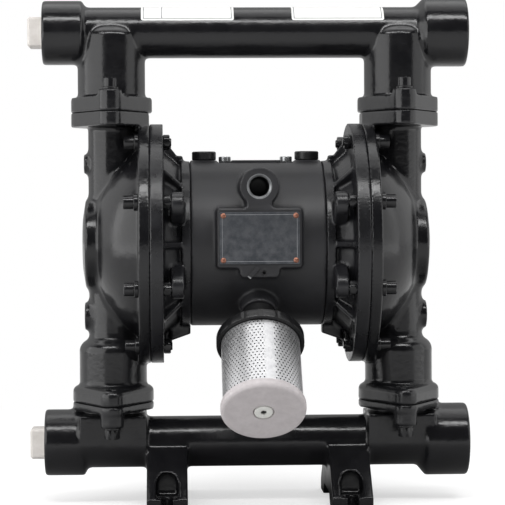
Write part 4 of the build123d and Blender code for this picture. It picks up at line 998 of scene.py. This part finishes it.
# Bare turned rim of the air inlet, where the boss was faced after painting.
inlet_face_y, inlet_rise = -91.0, 56.0
rim_place = facing((0, inlet_face_y, body_z + inlet_rise), (0, -1, 0))
rim_in, rim_out, rim_depth = 9.75, 12.1, 1.5
finished(
    "air_inlet_rim",
    repeated(
        turned(
            [
                (rim_in, -rim_depth),
                (11.3, 0.05),
                (rim_out, 0.05),
                (rim_out, -0.6),
                (10.6, -rim_depth),
                (rim_in, -rim_depth),
            ],
            64,
        ),
        [rim_place],
    ),
    "aluminium",
)
# Thread crests inside the air inlet's bore, in the near-black rubber finish: the threads are real,
# and their near-black is painted shade of the deep bore.
finished(
    "air_inlet_thread_painted_shade",
    repeated(thread_rings(9.8, 0.4, 1.8, 6), [rim_place]),
    "rubber",
)

# ------------------------------------------------------------ earth hole and tag on the tongue
tongue = Vector((4.5, -92.0, 231.0))
# Painted shade: a near-black rubber cup set in the earth hole of the tongue, with a thin lip at its
# edge, so that the hole shows dark.
hole_shade_depth = 7.0
finished(
    "earth_hole_painted_shade",
    repeated(
        turned(
            [
                (0.0, -hole_shade_depth),
                (1.9, -hole_shade_depth),
                (2.1, 0.06),
                (2.4, 0.06),
                (2.4, -7.6),
                (0.0, -7.6),
            ],
            32,
        ),
        [facing(tongue, (0, -1, 0))],
    ),
    "rubber",
)
tag_size, tip_size = (4.0, 0.5, 14.0), (3.6, 0.7, 1.5)
tip_drop = 6.0
tag_turn = Matrix.Rotation(radians(42.0), 4, "Y")
tag_place = Matrix.Translation(tongue + Vector((-10.5, -1.7, 0.7))) @ tag_turn
tag = block(tag_size)
tag_corners = [e for e in tag.edges if abs(e.verts[0].co.y - e.verts[1].co.y) > 0.1]
round_edges(tag, tag_corners, offset=1.2, segments=4)
bmesh.ops.transform(tag, matrix=tag_place, verts=tag.verts)
finished("earth_tag", tag, "charcoal_enamel")
tip = block(tip_size)
round_edges(tip, tip.edges[:], offset=0.25, segments=2)
bmesh.ops.translate(tip, vec=(0, 0, -tip_drop), verts=tip.verts)
bmesh.ops.transform(tip, matrix=tag_place, verts=tip.verts)
finished("earth_tag_tip", tip, "zinc_steel")

# Painted shade: a dark rubber disc part-way down the tie screw's socket, standing in for the
# socket's shaded floor.
socket_drop = 1.6
socket_way = facing(body_middle + muffler_way * (tie_reach - socket_drop), muffler_way)
finished(
    "tie_screw_socket_painted_shade",
    repeated(turned([(0.0, 0.0), (2.85, 0.0), (2.85, -0.4), (0.0, -0.4)], 24), [socket_way]),
    "rubber",
)

# ------------------------------------------------------------ stickers on the outlet tube
rule_low, rule_high = 1.85, 2.8
divider_width = 0.9
divider_margin = 2.0
label_start, label_turn = radians(24.5), radians(65.5)
label_steps = 62
label_corner = 2.0


def sticker(name, left, right, divider=None):
    """Blank label laid over the tube, its corners rounded and a thin grey rule inside its edge."""
    label = bmesh.new()
    radius = tube_r + 0.1
    start, turn, corner = label_start, label_turn, label_corner
    across = [0.0, 0.4, 0.9, 1.4, rule_low, rule_high, 3.4]
    stations = [left + x for x in across] + [right - x for x in reversed(across)]
    if divider:
        stations += [divider, divider + divider_width]
    stations.sort()
    row = [
        label.verts.new((x, -radius * cos(start), outlet_z + radius * sin(start))) for x in stations
    ]
    line = [label.edges.new(pair) for pair in zip(row, row[1:])]
    bmesh.ops.spin(
        label,
        geom=row + line,
        cent=(0, 0, outlet_z),
        axis=(1, 0, 0),
        angle=-turn,
        steps=label_steps,
    )
    for face in label.faces:
        middle = face.calc_center_median()
        up = (atan2(middle.z - outlet_z, -middle.y) - start) * radius
        off = (min(middle.x - left, right - middle.x), min(up, turn * radius - up))
        rule = min(off) > rule_low and (off[0] < rule_high or off[1] < rule_high)
        if divider and divider < middle.x < divider + divider_width and off[1] > divider_margin:
            rule = True
        face.material_index = int(rule)
    for v in label.verts:
        up = (atan2(v.co.z - outlet_z, -v.co.y) - start) * radius
        side = 1 if v.co.x > (left + right) / 2 else -1
        rise = 1 if up > turn * radius / 2 else -1
        off_x = corner - min(v.co.x - left, right - v.co.x)
        off_up = corner - min(up, turn * radius - up)
        if off_x > 0 and off_up > 0 and hypot(off_x, off_up) > corner:
            pull = 1 - corner / hypot(off_x, off_up)
            v.co.x -= side * off_x * pull
            angle = start + (up - rise * off_up * pull) / radius
            v.co.y = -radius * cos(angle)
            v.co.z = outlet_z + radius * sin(angle)
    bmesh.ops.recalc_face_normals(label, faces=label.faces)
    finished(name, label, "sticker_film").data.materials.append(skins["printed_rule"])


sticker("left_sticker", -113.0, -21.5, divider=-93.0)
sticker("right_sticker", 36.0, 127.5)

# ------------------------------------------------------------ studio
def lamp(name, at, aim, size, radiance):
    """Soft panel of a size in metres, at a brightness."""
    data = bpy.data.lights.new(name, "AREA")
    data.shape = "RECTANGLE"
    data.size, data.size_y = size
    data.energy = radiance * 4 * size[0] * size[1]
    panel = linked(name, data)
    panel.location = at
    panel.rotation_euler = (Vector(aim) - Vector(at)).to_track_quat("-Z", "Y").to_euler()


lamp("left panel", (-1.36, -0.63, 0.6), (0, 0, 0.27), (2.05, 1.2), 1.65)
lamp("right panel", (1.43, -0.46, 0.6), (0, 0, 0.27), (1.2, 1.2), 0.9)
lamp("key strip", (0.0, -1.15, 1.75), (0, 0, 0.3), (2.4, 0.3), 8.0)
lamp("top panel", (0.0, 0.2, 2.1), (0, 0, 0.3), (2.4, 1.5), 0.85)

# Plain white to the camera. Reflections see a studio that is dark in front and pale behind.
world = bpy.data.worlds.new("studio")
scene.world = world
world.use_nodes = True
tree = world.node_tree
tree.nodes.clear()
rays = add(tree, "LightPath")
seen = add(
    tree,
    "Math",
    {0: rays.outputs["Is Glossy Ray"], 1: rays.outputs["Is Transmission Ray"]},
    operation="MAXIMUM",
).outputs[0]
way = add(tree, "TexCoord").outputs["Generated"]
depth = add(tree, "SeparateXYZ", {0: way}).outputs["Y"]
rise = add(
    tree,
    "MapRange",
    {"Value": depth, "From Min": -0.1, "From Max": 0.2, "To Min": 0.03, "To Max": 1.0},
).outputs["Result"]
fade = add(
    tree,
    "MapRange",
    {"Value": depth, "From Min": 0.45, "From Max": 0.9, "To Min": 1.0, "To Max": 0.4},
).outputs["Result"]
back = add(tree, "Math", {0: rise, 1: fade}, operation="MULTIPLY").outputs[0]
lit = add(tree, "Mix", {0: seen, 2: 0.35, 3: back}).outputs[0]
level = add(tree, "Mix", {0: rays.outputs["Is Camera Ray"], 2: lit, 3: 1.0}).outputs[0]
sky = add(tree, "Background", {"Color": (1, 1, 1, 1), "Strength": level}).outputs[0]
add(tree, "OutputWorld", {"Surface": sky})

# White floor that keeps the soft shadow near the pump and fades to plain white further out.
floor_size = 12.0
floor_bm = bmesh.new()
bmesh.ops.create_grid(floor_bm, x_segments=1, y_segments=1, size=floor_size)
floor_mesh = bpy.data.meshes.new("floor")
floor_bm.to_mesh(floor_mesh)
floor_bm.free()
floor = linked("floor", floor_mesh)
pale = bpy.data.materials.new("matt white paint")
pale.use_nodes = True
tree = pale.node_tree
tree.nodes.clear()
rays = add(tree, "LightPath")
seen = add(
    tree,
    "Math",
    {0: rays.outputs["Is Glossy Ray"], 1: rays.outputs["Is Transmission Ray"]},
    operation="MAXIMUM",
).outputs[0]
spot = add(tree, "TexCoord").outputs["Object"]
apart = add(tree, "VectorMath", {0: spot}, operation="LENGTH").outputs["Value"]
far = add(tree, "MapRange", {"Value": apart, "From Min": 0.35, "From Max": 1.0}).outputs["Result"]
# In reflections alone the floor glows, from none within 0.1 m of the pump's origin up to 0.7 from
# 0.5 m out: a painted glow seen in the metal, with painted shade under the pump.
painted_reflection_glow = add(
    tree,
    "MapRange",
    {"Value": apart, "From Min": 0.1, "From Max": 0.5, "To Min": 0.0, "To Max": 0.7},
).outputs["Result"]
painted_glow_in_gloss = add(tree, "Math", {0: seen, 1: painted_reflection_glow}, operation="MULTIPLY").outputs[0]
# In reflections the floor's paint is a darker grey than the camera sees: painted shade on the
# reflected floor.
floor_paint_darker_in_reflections = add(
    tree,
    "Mix",
    {0: seen, 6: colour("#d2d2d2"), 7: colour("#5a5a5a")},
    data_type="RGBA",
).outputs[2]
paint = add(tree, "BsdfDiffuse", {"Color": floor_paint_darker_in_reflections}).outputs[0]
in_view = add(
    tree, "Math", {0: rays.outputs["Is Camera Ray"], 1: 0.55}, operation="MULTIPLY"
).outputs[0]
lift = add(tree, "Math", {0: in_view, 1: painted_glow_in_gloss}, operation="MAXIMUM").outputs[0]
glow = add(tree, "Emission", {"Color": (1, 1, 1, 1), "Strength": lift}).outputs[0]
near = add(tree, "AddShader", {0: paint, 1: glow}).outputs[0]
white = add(tree, "Emission", {"Color": (1, 1, 1, 1), "Strength": 1.0}).outputs[0]
in_far = add(
    tree, "Math", {0: rays.outputs["Is Camera Ray"], 1: far}, operation="MULTIPLY"
).outputs[0]
both = add(tree, "MixShader", {0: in_far, 1: near, 2: white}).outputs[0]
add(tree, "OutputMaterial", {"Surface": both})
floor_mesh.materials.append(pale)

lens = bpy.data.cameras.new("camera")
lens.lens = 149.7
lens.sensor_width = 36.0
camera = linked("camera", lens)
camera.location = (-0.0907, -2.1, 0.301)
sight = Vector((-0.0032, 0.0, 0.2485)) - camera.location
roll = Matrix.Rotation(radians(-0.3), 3, "Z").to_quaternion()
camera.rotation_euler = (sight.to_track_quat("-Z", "Y") @ roll).to_euler()
scene.camera = camera

scene.view_settings.view_transform = "Standard"
